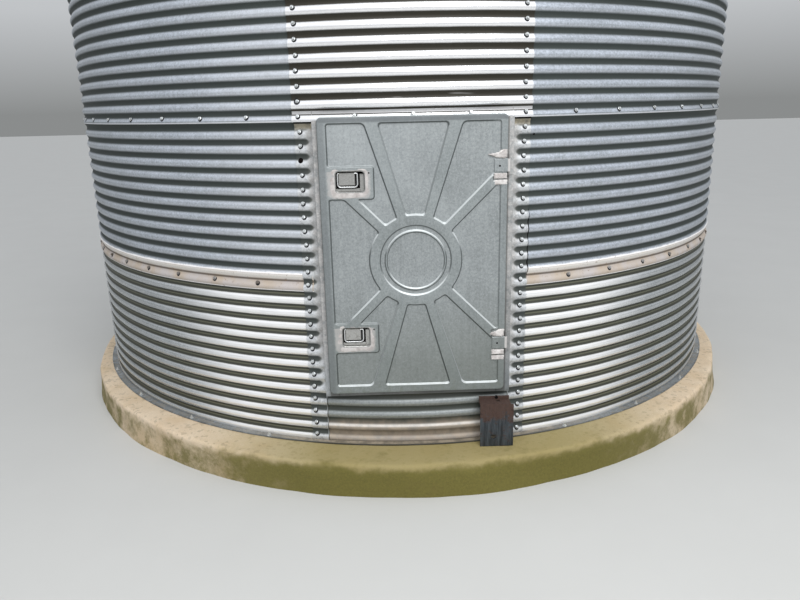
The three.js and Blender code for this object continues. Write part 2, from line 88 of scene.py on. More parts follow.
# Door and its frame, "out" from the crest line and "up" from the foot of the wall
DOOR_LOW, DOOR_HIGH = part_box("door_panel")
DOOR_LEFT = DOOR_LOW.x
DOOR_RIGHT = DOOR_HIGH.x
DOOR_BOTTOM = DOOR_LOW.z - FOOT
DOOR_TOP = DOOR_HIGH.z - FOOT
DOOR_OUT = -DOOR_LOW.y - RADIUS
DOOR_BACK = -DOOR_HIGH.y - RADIUS
DOOR_FIELD = DOOR_OUT - 0.009
DOOR_CORNER = 0.022
FIELDS = (-0.408, 0.409, 0.330, 1.627)   # left, right, bottom and top of the pressed-in fields
FRAME_HALF_W = 0.470
FRAME_FOOT = 0.270                       # the jambs' flat faces end here, just over the sill
CLEAR_HALF_W = 0.400
CLEAR_BOTTOM = 0.320
CLEAR_TOP = 1.590
HUB_UP = 0.975
HUB_R = 0.219
GROOVE_R = 0.176
BEAD_R = 0.145
DISC_R = 0.136
LATCH_X = -0.302
LATCH_UPS = {"upper": 1.359, "lower": 0.593}
TRAY_HALF_W = 0.070
TRAY_HALF_H = 0.0505
LATCH_CORNER = 0.016
LATCH_PAD = (0.215, -0.079, 0.066)       # width, and lower and upper edge from the latch's middle
HINGE_UPS = {"upper": 1.418, "lower": 0.542}
HINGE_POCKET = (0.0705, 0.150)
PIN_X = DOOR_RIGHT + 0.0075
PIN_OUT = 0.014

# Camera, worked out from the photograph together with the wall's size
CAMERA_AT = (-0.1457, -5.5206, 1.6944)   # height above the foot of the wall
CAMERA_HEADING = math.radians(1.14)      # to the right of straight ahead
CAMERA_PITCH = math.radians(15.695)      # downward
CAMERA_ROLL = math.radians(1.338)
SENSOR = 36                              # millimetres across
CAMERA_FOCAL = 689.3 / 800 * SENSOR


# Mesh making

def mesh_piece(name, shape, finish, replaces=(), sharp=40, body="silo"):
    """Makes one piece from its points and faces, with its finish, on its body."""
    points, faces = shape
    mesh = bpy.data.meshes.new(name)
    mesh.from_pydata([tuple(p) for p in points], [], [tuple(int(i) for i in f) for f in faces])
    mesh.validate()
    mesh.update()
    mesh.shade_smooth()
    mesh.set_sharp_from_angle(angle=math.radians(sharp))
    mesh.materials.append(finish_of(finish))
    piece = bpy.data.objects.new(name, mesh)
    bpy.context.scene.collection.objects.link(piece)
    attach(piece, body)
    if replaces:
        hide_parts(*replaces)
    return piece


def thick_faces(cells, count):
    """Both faces of a sheet and its edge, for points given outer first and then inner."""
    sides = [(f[i], f[(i + 1) % len(f)]) for f in cells for i in range(len(f))]
    known = set(sides)
    rim = [(b, a, a + count, b + count) for a, b in sides if (b, a) not in known]
    back = [tuple(i + count for i in reversed(f)) for f in cells]
    return [tuple(f) for f in cells] + back + rim


def thick_grid(outer, inner, keep=None):
    """A closed sheet between two like grids of points. keep says which cells are there."""
    rows, cols = outer.shape[:2]
    points = np.concatenate([outer.reshape(-1, 3), inner.reshape(-1, 3)])
    index = np.arange(rows * cols).reshape(rows, cols)
    cells = np.stack([index[:-1, :-1], index[:-1, 1:], index[1:, 1:], index[1:, :-1]], -1)
    cells = cells.reshape(-1, 4) if keep is None else cells[keep]
    return points, thick_faces(cells.tolist(), rows * cols)


def used_only(points, faces):
    """Drops the points that no face uses."""
    used = sorted({i for face in faces for i in face})
    place = {old: new for new, old in enumerate(used)}
    return [points[i] for i in used], [tuple(place[i] for i in face) for face in faces]


def loft(loops, ring=False, capped=True):
    """Faces through a row of loops with like counts of points, with its ends capped."""
    count = len(loops[0])
    points = [p for loop in loops for p in loop]
    faces = []
    for s in range(len(loops) if ring else len(loops) - 1):
        a, b = s * count, ((s + 1) % len(loops)) * count
        for i in range(count):
            j = (i + 1) % count
            faces.append((a + i, a + j, b + j, b + i))
    if capped and not ring:
        faces.append(tuple(range(count))[::-1])
        faces.append(tuple(range(len(points) - count, len(points))))
    return points, faces


def flipped(shape):
    """The same shape with its faces turned round."""
    points, faces = shape
    return points, [tuple(f)[::-1] for f in faces]


def merged(parts):
    """Several (points, faces) as one."""
    points, faces = [], []
    for part_points, part_faces in parts:
        start = len(points)
        points.extend(tuple(p) for p in part_points)
        faces.extend(tuple(int(i) + start for i in f) for f in part_faces)
    return points, faces


def tube(path, radius, sides=12):
    """A rod along a path; its frame is carried along without twist."""
    path = [Vector(p) for p in path]
    turns = [2 * math.pi * s / sides for s in range(sides)]
    loops = []
    side = None
    for before, point, after in zip(path[:1] + path, path, path[1:] + path[-1:]):
        along = (after - before).normalized()
        if side is None:
            guide = Vector((0, 0, 1)) if abs(along.z) < 0.9 else Vector((1, 0, 0))
            side = along.cross(guide).normalized()
        side = (side - along * side.dot(along)).normalized()
        other = along.cross(side)
        loops.append([point + side * radius * math.cos(a) + other * radius * math.sin(a) for a in turns])
    return loft(loops)


def circle(x, y, r, sides, first=0.0):
    """Points evenly round a circle, anticlockwise."""
    turns = [first + 2 * math.pi * s / sides for s in range(sides)]
    return [(x + r * math.cos(a), y + r * math.sin(a)) for a in turns]


def rounded_rect(x0, x1, y0, y1, r, corner=6):
    """The outline of a rectangle with round corners, anticlockwise."""
    points = []
    right, left, low, high = x1 - r, x0 + r, y0 + r, y1 - r
    for cx, cy, start in ((right, low, -90), (right, high, 0), (left, high, 90), (left, low, 180)):
        for i in range(corner + 1):
            a = math.radians(start + 90 * i / corner)
            points.append((cx + r * math.cos(a), cy + r * math.sin(a)))
    return points


def at_door(x, up, out):
    """A point given square to the door, in the frame's own axes."""
    return (x, -RADIUS - out, FOOT + up)


def door_loop(outline, out):
    """An outline given in x and up, set square to the door."""
    return [at_door(x, up, out) for x, up in outline]


def box_at(x0, x1, up0, up1, out0, out1, bevel=0.0012):
    """A block square to the door with its edges eased."""
    loops = []
    for out, inset in ((out0, bevel), (out0 + bevel, 0), (out1 - bevel, 0), (out1, bevel)):
        sides = x0 + inset, x1 - inset, up0 + inset, up1 - inset
        loops.append(door_loop(rounded_rect(*sides, max(bevel - inset, 0) + 1e-4, 2), out))
    return loft(loops)


# The wall's shape

def wave(up):
    """How far the wall lies behind its crest line at a height."""
    return WAVE_DEPTH / 2 * (1 - np.cos(2 * np.pi * (np.asarray(up) / PITCH - CREST_UP)))


def flank_tilt(up):
    """How far the sheet at a height is turned upward, in radians."""
    return math.atan(WAVE_DEPTH * math.pi / PITCH * math.sin(2 * math.pi * (up / PITCH - CREST_UP)))


def dent(angle, up):
    """The slight unevenness of rolled sheet."""
    a, z = np.asarray(angle), np.asarray(up)
    swell = np.sin(5 * a + 1.3 + 0.8 * z) * np.sin(1.9 * z + 0.6)
    return sizes().dent * (swell + 0.64 * np.sin(17 * a + 2.1 * z) + 0.36 * np.sin(41 * a - 3.1 * z + 2.0))


def on_wall(angle, up, lift=0.0):
    """Points of the wall's outer face."""
    angle, up = np.broadcast_arrays(np.asarray(angle, float), np.asarray(up, float))
    reach = RADIUS - wave(up) + dent(angle, up) + lift
    return np.stack([reach * np.sin(angle), -reach * np.cos(angle), FOOT + up], -1)


def smooth_step(low, high, value):
    """0 below low, 1 above high, smooth between."""
    t = np.clip((np.asarray(value, float) - low) / (high - low), 0, 1)
    return t * t * (3 - 2 * t)


# Finishes

def linear(code):
    """A colour written as six hex digits, as the shader wants it."""
    parts = [int(code[i:i + 2], 16) / 255 for i in (0, 2, 4)]
    return tuple(c / 12.92 if c <= 0.04045 else ((c + 0.055) / 1.055) ** 2.4 for c in parts) + (1.0,)


def length_setting(name, description, default):
    """A size in metres for the settings."""
    return bpy.props.FloatProperty(name=name, description=description, default=default,
                                   min=0.0, precision=4, unit="LENGTH")


def colour_setting(name, description, code):
    """A colour for the settings, given as six hex digits."""
    return bpy.props.FloatVectorProperty(name=name, description=description, default=linear(code),
                                         size=4, min=0.0, max=1.0, subtype="COLOR")


class SiloSizes(bpy.types.PropertyGroup):
    """Sizes that may be changed before the pieces are made."""

    gauge: length_setting("Sheet thickness", "Thickness of the sheets, a little over the real one", 0.0016)
    dent: length_setting("Unevenness", "How far the rolled sheet swells and sinks", 0.0011)
    washer: length_setting("Washer radius", "Radius of the washers under the wall's bolts", 0.0094)
    seal: length_setting("Seal radius", "Radius of the dark seals under the washers", 0.0122)
    pull_rod: length_setting("Pull rod radius", "Radius of the rod that the pulls are bent from", 0.0032)
    sealant: length_setting("Sealant thickness", "How far the sealant round the latches stands up", 0.0012)


class SiloColours(bpy.types.PropertyGroup):
    """Colours that may be changed before the pieces are made."""

    weathered_light: colour_setting("Upper rings, light", "Washed zinc of the upper rings", "ccd3dd")
    weathered_dark: colour_setting("Upper rings, dark", "Dull zinc of the upper rings", "959ba2")
    bright_light: colour_setting("Lowest ring, light", "Washed zinc of the newer lowest ring", "cfd2d4")
    bright_dark: colour_setting("Lowest ring, dark", "Dull zinc of the newer lowest ring", "a6abae")
    header_light: colour_setting("Header, light", "Washed zinc of the sheet over the door", "fcfcfd")
    header_dark: colour_setting("Header, dark", "Dull zinc of the sheet over the door", "eeeef1")
    # Grime in the valleys, darkened further as painted shade
    valley_grime_and_shade: colour_setting("Valley dirt", "Grime and painted shade in the valleys of the wall", "353b39")
    door_light: colour_setting("Door, light", "Washed zinc of the door", "a6abac")
    door_dark: colour_setting("Door, dark", "Dull zinc of the door", "808586")
    frame_light: colour_setting("Frame, light", "Washed zinc of the door's frame", "d2d5d7")
    frame_dark: colour_setting("Frame, dark", "Dull zinc of the door's frame", "a9aeb1")
    roof_light: colour_setting("Roof, light", "Washed zinc of the roof", "c4cad1")
    roof_dark: colour_setting("Roof, dark", "Dull zinc of the roof", "8e959d")
    sealant_light: colour_setting("Sealant, light", "Clean old sealant", "dad6d3")
    sealant_dark: colour_setting("Sealant, dark", "Stained old sealant", "b3adaa")
    rust_light: colour_setting("Rust, light", "Dry rust of the bracket", "573d31")
    rust_dark: colour_setting("Rust, dark", "Deep rust of the bracket", "251a15")
    concrete_light: colour_setting("Concrete, light", "Worn top of the pad", "f3e1c8")
    concrete_dark: colour_setting("Concrete, dark", "Stained top of the pad", "b3a086")
    moss: colour_setting("Moss", "Moss on the pad", "57522a")


def sizes():
    return bpy.context.scene.silo_sizes


def colours():
    return bpy.context.scene.silo_colours


class Value:
    """A shader output that plain arithmetic can be done with."""

    def __init__(self, finish, socket):
        self.finish = finish
        self.socket = socket

    def __add__(self, other):
        return self.finish.math("ADD", self, other)

    __radd__ = __add__

    def __sub__(self, other):
        return self.finish.math("SUBTRACT", self, other)

    def __rsub__(self, other):
        return self.finish.math("SUBTRACT", other, self)

    def __mul__(self, other):
        return self.finish.math("MULTIPLY", self, other)

    __rmul__ = __mul__

    def __truediv__(self, other):
        return self.finish.math("DIVIDE", self, other)

    def __neg__(self):
        return self * -1.0

    def __abs__(self):
        return self.finish.math("ABSOLUTE", self)

    def largest(self, other):
        return self.finish.math("MAXIMUM", self, other)

    def ramp(self, low, high):
        """0 at low, 1 at high, smooth between."""
        settings = {"interpolation_type": "SMOOTHSTEP"}
        return self.finish.node("ShaderNodeMapRange", settings, {0: self, 1: low, 2: high})

    def between(self, low, high, soft):
        """1 between two values, 0 outside them."""
        return (self - low).ramp(-soft, soft) * (high - self).ramp(-soft, soft)

    def tinted(self, amount, shade):
        """This colour with an amount of a shade mixed into it."""
        return self.finish.mix(amount, self, shade)


class Nodes:
    """A shader tree and the ways that its nodes are made."""

    def __init__(self, owner):
        owner.use_nodes = True
        self.tree = owner.node_tree

    def node(self, kind, settings, inputs, output=0):
        """Adds one shader node and gives its output. A colour is given as six hex digits."""
        made = self.tree.nodes.new(kind)
        for key, value in settings.items():
            if key == "stops":
                stops = made.color_ramp.elements
                stops.remove(stops[1])
                stops[0].position, stops[0].color = value[0]
                for position, colour in value[1:]:
                    stops.new(position).color = colour
            else:
                setattr(made, key, value)
        for key, value in inputs.items():
            if isinstance(value, Value):
                self.tree.links.new(value.socket, made.inputs[key])
            else:
                made.inputs[key].default_value = linear(value) if isinstance(value, str) else value
        return Value(self, made.outputs[output])

    def math(self, operation, *inputs):
        return self.node("ShaderNodeMath", {"operation": operation}, dict(enumerate(inputs)))

    def mix(self, amount, first, second):
        return self.node("ShaderNodeMix", {"data_type": "RGBA"}, {0: amount, 6: first, 7: second}, 2)

    def parts(self, vector):
        """The three numbers of a vector."""
        made = self.node("ShaderNodeSeparateXYZ", {}, {0: vector})
        return [Value(self, made.socket.node.outputs[i]) for i in range(3)]

    def vector(self, x, y, z):
        return self.node("ShaderNodeCombineXYZ", {}, {0: x, 1: y, 2: z})

    def link(self, value, node, socket):
        self.tree.links.new(value.socket, self.tree.nodes[node].inputs[socket])


class Finish(Nodes):
    """A material with one Principled shader and the masks that all the finishes share."""

    def __init__(self, name, metallic=0.0, roughness=0.5, specular=0.5):
        self.material = bpy.data.materials.new(name)
        super().__init__(self.material)
        shader = self.tree.nodes["Principled BSDF"]
        shader.inputs["Metallic"].default_value = metallic
        shader.inputs["Roughness"].default_value = roughness
        shader.inputs["Specular IOR Level"].default_value = specular
        self.place = self.node("ShaderNodeTexCoord", {}, {}, "Object")
        self.colour = None

    def tint(self, amount, shade):
        """Mixes an amount of a shade into the finish's colour."""
        self.colour = self.colour.tinted(amount, shade)

    def noise(self, scale, detail=3.0, roughness=0.6, at=None, stretch=None):
        """Noise over the piece, or over another place, which may be stretched first."""
        at = at or self.place
        if stretch:
            at = self.node("ShaderNodeVectorMath", {"operation": "MULTIPLY"}, {0: at, 1: stretch})
        inputs = {"Vector": at, "Scale": scale, "Detail": detail, "Roughness": roughness}
        return self.node("ShaderNodeTexNoise", {}, inputs)

    def cells(self, scale):
        """One random brightness for each crystal of the zinc."""
        inputs = {"Vector": self.place, "Scale": scale}
        return self.parts(self.node("ShaderNodeTexVoronoi", {}, inputs, "Color"))[0]

    def wall_place(self):
        """Around the wall and up it, in metres, and both as a flat place for noise."""
        x, y, z = self.parts(self.place)
        around, up = self.math("ARCTAN2", x, -y) * RADIUS, z - FOOT
        return around, up, self.vector(around, 0.0, up)

    def valleys(self, up, uneven, low=0.22, high=0.80):
        """1 in the valleys, a little toward their upper flanks high on the wall, and 0 along the crests."""
        turn = (up * (1 / PITCH - 0.04) - (CREST_UP + 0.5 - 0.02)) * (2 * math.pi)
        return (self.math("COSINE", turn) * 0.5 + 0.5 + uneven).ramp(low, high)

    def own_facing(self):
        """The surface's direction on the piece itself, however far a door is turned."""
        return self.parts(self.node("ShaderNodeTexCoord", {}, {}, "Normal"))

    def bump(self, height, distance, strength=1.0):
        inputs = {"Height": height, "Distance": distance, "Strength": strength}
        self.link(self.node("ShaderNodeBump", {}, inputs), "Principled BSDF", "Normal")

    def done(self, roughness=None, metallic=None):
        """Joins what varies to the shader, and gives the material."""
        made = {"Base Color": self.colour, "Roughness": roughness, "Metallic": metallic}
        for socket, value in made.items():
            if value is not None:
                self.link(value, "Principled BSDF", socket)
        return self.material


def zinc_base(finish, around, up, light, dark, streaks=0.3):
    """Zinc with faint crystals, fine speckle and rain streaks."""
    crystals = finish.cells(130.0)
    finish.speckle = finish.noise(380.0, 2.0)
    mottle = finish.noise(95.0, 3.0, 0.7)
    finish.cloud = finish.noise(5.0, 4.0)
    finish.rain = finish.noise(60.0, 4.0, 0.7, at=finish.vector(around, 0.0, up), stretch=(1.0, 1.0, 0.04))
    tone = crystals * 0.20 + finish.speckle * 0.45 + mottle * 0.60 + finish.cloud * 0.5
    tone = tone + finish.rain * streaks
    middle = 0.10 + 0.225 + 0.30 + 0.25 + 0.5 * streaks
    finish.colour = finish.mix(tone.ramp(middle - 0.40, middle + 0.40), dark, light)
    finish.uneven = (finish.cloud - 0.5) * 0.16 + (finish.speckle - 0.5) * 0.14


def sheet_finish(name, light, dark, metallic, roughness, dirt_and_shade_edges=(0.20, 0.82), lower_flank_highlight=0.0):
    """Corrugated sheet: light crests, grime and painted shade in the valleys, a painted highlight on the
    crests' lower flanks if asked, and painted shade on the sides away from the door. Returns what the
    single sheets add to.
    """
    finish = Finish(name, metallic, roughness, 0.25)
    around, up, flat = finish.wall_place()
    zinc_base(finish, around, up, light, dark)
    along = finish.noise(120.0, 3.0, at=flat, stretch=(0.05, 1.0, 1.0))
    finish.tint((along - 0.5).ramp(0.0, 0.3) * 0.25, dark)
    wave_slope = finish.math("SINE", (up / PITCH - CREST_UP) * (2 * math.pi))
    # Painted highlight on the lower, downward-facing flanks of the crests
    finish.tint((wave_slope * -0.5 + 0.5).ramp(0.2, 1.0) * lower_flank_highlight, "ffffff")
    # Painted shade on the sides of the wall away from the door
    finish.tint((abs(around) - 1.45).ramp(0.0, 0.6) * 0.22, "6b7274")
    finish.bump(finish.speckle * 0.35 + finish.cloud * 0.8, 0.0010, 0.25)
    # The valley mask: grime and painted shade in the valleys
    return finish, around, up, flat, finish.valleys(up, finish.uneven, *dirt_and_shade_edges)


def zinc_weathered():
    """Dull blue-grey sheets of the upper rings, with the coated joint over the lowest ring, a painted
    highlight near the door, and painted light and shade along the laps.
    """
    finish, around, up, flat, dirt_and_shade = sheet_finish(
        "zinc_weathered", colours().weathered_light, colours().weathered_dark, 0.55, 0.34, lower_flank_highlight=0.10)
    # Painted highlight near the door, stronger on its left
    door_highlight = (1.25 - abs(around)).ramp(0.0, 0.6)
    finish.tint(door_highlight * (1.0 - around.ramp(-0.6, 0.6)) * 0.34, "eff1f5")
    # At the laps of rings 3 and 4: grime and painted shadow under the lapping edge, a painted highlight
    # along the edge, and a thin painted shade line just above it
    for joint in (UNIT_TOP, 3 * RING_PITCHES):
        above = up / PITCH - joint
        dirt_and_shade = dirt_and_shade.largest(above.between(-0.16, 0.11, 0.02)) * (1.0 - above.between(0.12, 0.20, 0.015))
        dirt_and_shade = dirt_and_shade.largest(above.between(0.225, 0.260, 0.02) * 0.75)
        finish.tint(above.between(0.10, 0.20, 0.015) * 0.6, "f0f1f3")
    # Grime and painted shade in the valleys and under the laps
    finish.tint(dirt_and_shade * 0.99, colours().valley_grime_and_shade)
    gloss = 0.34 + dirt_and_shade * 0.35 + (finish.speckle - 0.5) * 0.16
    shine = 0.55 * (1.0 - dirt_and_shade * 0.85)
    # The coat on the joint over ring 1: its edges, then its shades at heights given in pitches
    ragged = up + (finish.noise(14.0, 5.0, at=flat) - 0.5) * 0.012
    coated = (up - (RING_HEIGHT - 0.0030)).ramp(-0.002, 0.002)
    coated = coated * (13.36 * PITCH - ragged).ramp(-0.004, 0.004)
    stain = finish.noise(7.0, 4.0, at=flat).ramp(0.35, 0.65)
    underside = (up / PITCH).between(12.86, 13.20, 0.05)
    coat = finish.mix(stain, "b9b2af", "b5a695").tinted(underside * 0.85, "e6e2dc")
    valley = (0.0042 - abs(up - 12.74 * PITCH)).ramp(-0.0045, 0.0030)
    coat = coat.tinted(valley * 0.85, "4f463d")
    rims = (up - (13.20 * PITCH)).ramp(0.0, 0.006).largest((12.04 * PITCH - up).ramp(-0.001, 0.002))
    coat = coat.tinted(rims * 0.9, "fbfafa")
    coat = coat.tinted((finish.speckle - 0.55).ramp(0.0, 0.1) * 0.25, "8a8075")
    brown = finish.noise(46.0, 4.0, 0.7)
    coat = coat.tinted((brown - 0.60).ramp(0.0, 0.08) * 0.55, "7d6450")
    finish.tint(coated * 0.94, coat)
    return finish.done(gloss + coated * 0.30, shine * (1.0 - coated))


def zinc_bright():
    """The newer lowest ring: a painted highlight beside the door, drawn lines, and olive grime with painted
    shade in the valleys.
    """
    finish, around, up, flat, dirt_and_shade = sheet_finish(
        "zinc_bright", colours().bright_light, colours().bright_dark, 0.75, 0.22, (0.36, 0.66))
    # Painted highlight beside the door, where the sheet is also made less metallic
    beside = (1.50 - abs(around)).ramp(0.0, 0.60)
    drawn = finish.noise(190.0, 2.0, at=flat, stretch=(0.03, 1.0, 1.0))
    finish.tint(beside * 0.95, "ffffff")
    finish.tint((drawn - 0.52).ramp(0.0, 0.12) * (0.30 - beside * 0.14), "9aa0a0")
    middle = finish.valleys(up, (drawn - 0.5) * 0.04, 0.955, 0.985)
    # Olive grime and painted shade in the valleys, lighter along their middle
    finish.tint(dirt_and_shade * 0.98, finish.mix(middle * 0.6, "33342a", "6d6e5b"))
    gloss = 0.20 + dirt_and_shade * 0.30 + (finish.speckle - 0.5) * 0.10
    return finish.done(gloss, (0.75 - beside * 0.25) * (1.0 - dirt_and_shade * 0.8))


def zinc_header():
    """The sheet over the door, almost white along its crests, with grime and painted shade in its valleys
    and a painted shade line over its hem.
    """
    finish, around, up, flat, dirt_and_shade = sheet_finish(
        "zinc_header", colours().header_light, colours().header_dark, 0.65, 0.24, (0.34, 0.70))
    drawn = finish.noise(190.0, 2.0, at=flat, stretch=(0.03, 1.0, 1.0))
    finish.tint((drawn - 0.55).ramp(0.0, 0.12) * 0.22, "c3c3c6")
    rub = finish.noise(26.0, 2.0, at=flat, stretch=(0.14, 1.0, 1.0)).ramp(0.60, 0.72)
    rub = rub * (0.30 - abs(around)).ramp(0.0, 0.10) * (26.2 * PITCH - up).ramp(0.0, 0.01)
    above = up / PITCH - UNIT_TOP
    hem = above.between(HEADER_EDGE - 0.10, HEM_TOP - 0.01, 0.02)
    inner = above.between(0.63, 0.84, 0.03)
    dirt_and_shade = dirt_and_shade * (1.0 - hem) * (1.0 - inner * 0.55)
    # A thin painted shade line along the hem's upper edge, then grime and painted shade in the valleys
    dirt_and_shade = dirt_and_shade.largest(above.between(0.555, 0.61, 0.015) * 0.9)
    finish.tint(dirt_and_shade * 0.99, finish.mix(rub * 0.8, "27241a", "9c9a98"))
    gloss = 0.24 + dirt_and_shade * 0.30 + (finish.speckle - 0.5) * 0.10
    return finish.done(gloss, 0.65 * (1.0 - dirt_and_shade * 0.8))


def near_latch(finish, x, z, wide, high, above=1.0):
    """1 at a distance round the latches' recesses; above is the share of it over them."""
    reaches = []
    for up in LATCH_UPS.values():
        beside = (abs(x - LATCH_X) - TRAY_HALF_W).largest(0.0) * (1 / wide)
        rise = z - (FOOT + up)
        over = (rise - TRAY_HALF_H) * (1 / (high * above))
        beyond = over.largest((-rise - TRAY_HALF_H) * (1 / high)).largest(0.0)
        reaches.append(finish.math("SQRT", beside * beside + beyond * beyond))
    return finish.math("MINIMUM", *reaches)


def door_zinc():
    """Grey sheet with rain streaks; painted shade on the steep pressed slopes, and a painted highlight on
    their upward-facing sides.
    """
    finish = Finish("door_zinc", 0.4, 0.46, 0.4)
    x, y, z = finish.parts(finish.place)
    zinc_base(finish, x, z, colours().door_light, colours().door_dark, 0.42)
    fine = finish.noise(240.0, 3.0, 0.7, stretch=(1.0, 1.0, 0.25))
    finish.tint((fine - 0.56).ramp(0.0, 0.10) * 0.22, "c9cfd0")
    finish.tint((0.42 - fine).ramp(0.0, 0.10) * 0.30, "6f7575")
    washed_left = (z - FOOT - 1.10).ramp(0.0, 0.4) * (0.25 - x).ramp(0.0, 0.45)
    finish.tint(washed_left * 0.18, "bcc1c4")
    low = (FOOT + 0.92 - z).ramp(0.0, 0.55) * (0.85 + (x * 0.5).ramp(-0.2, 0.2) * 0.3)
    finish.tint(low * 0.50, "676c64")
    out = -y - RADIUS
    facing_y, facing_z = finish.own_facing()[1:]
    raised = (out - DOOR_FIELD).ramp(0.006, 0.009)
    finish.tint(raised * 0.22, "788180")
    edge = (-x - FIELDS[1]).ramp(-0.004, 0.012).largest((z - FOOT - FIELDS[3]).ramp(-0.004, 0.006) * 1.6)
    edge = edge.largest((x - FIELDS[1]).ramp(-0.004, 0.012) * 0.3)
    finish.tint(edge * 0.42, "63676a")
    # Painted shade on the steep pressed slopes, weaker near the right border
    steep = (1.0 + facing_y).ramp(0.04, 0.20) * (1.0 - (x - 0.36).ramp(0.0, 0.03) * 0.75)
    finish.tint(steep * 0.66, "3b4241")
    # Painted highlight on the upward-facing pressed slopes, stronger away from the latches
    upward_highlight = facing_z.ramp(0.10, 0.42) * (1.0 + facing_y).ramp(0.05, 0.15)
    beside_latch = near_latch(finish, x, z, 0.060, 0.045)
    finish.tint(upward_highlight * (0.25 + beside_latch.ramp(0.7, 1.3) * 0.55), "dfe4e4")
    foot = (DOOR_BOTTOM + FOOT + 0.10 - z).ramp(0.0, 0.10)
    moss = foot * finish.noise(30.0, 4.0).ramp(0.45, 0.75)
    finish.tint(moss * 0.4, "5f6450")
    patch = finish.noise(42.0, 5.0, 0.65)
    spread = near_latch(finish, x + 0.006, z + 0.004, 0.036, 0.026, 0.12) + (patch - 0.5) * 0.8
    smeared = (1.0 - spread).ramp(0.0, 0.35) * (1.0 - facing_z.ramp(0.3, 0.6))
    finish.tint(smeared * 0.52, finish.mix(patch, colours().sealant_dark, colours().sealant_light))
    knuckle = (x - DOOR_RIGHT).ramp(0.0005, 0.0020)
    finish.tint(knuckle * 0.75, colours().sealant_light)
    finish.bump(finish.speckle * 0.3 + finish.cloud * 1.2, 0.0010, 0.25)
    gloss = 0.38 + (1.0 - finish.rain) * 0.18 + (finish.speckle - 0.5) * 0.16
    return finish.done(gloss)


def frame_zinc():
    """The door frame: zinc smeared with old sealant beside the door, corrugated outside it with grime and
    painted shade in the valleys; painted shadow lines beside the door and under the header, and painted
    shade of plants low on the right.
    """
    finish = Finish("frame_zinc", 0.5, 0.42, 0.3)
    x, z = finish.parts(finish.place)[::2]
    around, up = finish.wall_place()[:2]
    zinc_base(finish, around, up, colours().frame_light, colours().frame_dark)
    right = x.ramp(-0.05, 0.05)
    finish.tint(0.30 - right * 0.08, "f6f6f8")
    mottle = finish.noise(55.0, 4.0, 0.75)
    finish.tint((0.49 - mottle).ramp(0.0, 0.10) * 0.45, "85888a")
    past_web = (abs(x) - FRAME_HALF_W).ramp(0.002, 0.040).largest((FRAME_FOOT - up).ramp(0.0, 0.004))
    beyond = (abs(x) - FRAME_HALF_W).ramp(0.001, 0.006)
    # Grime and painted shade in the flange's valleys
    dirt_and_shade = finish.valleys(up, finish.uneven + (past_web - 1.0) * 0.75) * beyond
    top = UNIT_TOP * PITCH
    flange_rust = (up - (top - 0.035)).ramp(0.0, 0.02) * beyond
    dirt_and_shade = dirt_and_shade * (1.0 - flange_rust * 0.7)
    finish.tint(dirt_and_shade * 0.98, finish.mix(past_web, "62635a", "363b38"))
    ragged = abs(x) + (finish.noise(18.0, 5.0, at=finish.vector(x, 0.0, z)) - 0.5) * 0.06
    smear = (0.500 - ragged).ramp(-0.020, 0.012) * (up - 0.33).ramp(0.0, 0.25) * (1.0 - dirt_and_shade * 0.9)
    thin = finish.noise(40.0, 5.0).ramp(0.25, 0.62)
    spots = finish.noise(110.0, 4.0, 0.7)
    smear = smear * (0.40 + thin * 0.50)
    coat = finish.mix(thin, "838481", "a9a7a5")
    coat = coat.tinted((spots - 0.52).ramp(0.0, 0.12) * 0.6, "cac7c4")
    bare = (0.5 + (0.5 - finish.cloud) * 1.5) * (1.0 - beyond)
    finish.tint(bare, "6d7376")
    finish.tint(smear, coat)
    # Painted shade of plants on the lower right face
    plant_shade = (1.00 - up).ramp(0.0, 0.30) * right * (1.0 - beyond)
    finish.tint(plant_shade * 0.42, "5f6262")
    # A thin painted shadow line on the face beside the door's edge
    inner = (0.4475 - abs(x)).ramp(-0.003, 0.004)
    finish.tint(inner * 0.65, "4a4844")
    low = (DOOR_BOTTOM - up).ramp(-0.02, 0.05) * (1.0 - beyond)
    finish.tint(low * 0.75, "5d5f5b")
    finish.tint(flange_rust * 0.75, finish.mix(thin, "5d5541", "8f8468"))
    # A near-black painted shadow on the flange just under the header's edge
    header_edge_shadow = (up - top).ramp(-0.0015, 0.0015) * beyond
    finish.tint(header_edge_shadow, "0c0b09")
    finish.bump(finish.speckle * 0.3 + thin * smear * 1.5, 0.0012, 0.5)
    gloss = 0.40 + smear * 0.35 + dirt_and_shade * 0.3 + (finish.speckle - 0.5) * 0.16
    shine = 0.5 * (1.0 - smear) * (1.0 - dirt_and_shade * 0.8)
    return finish.done(gloss, shine)


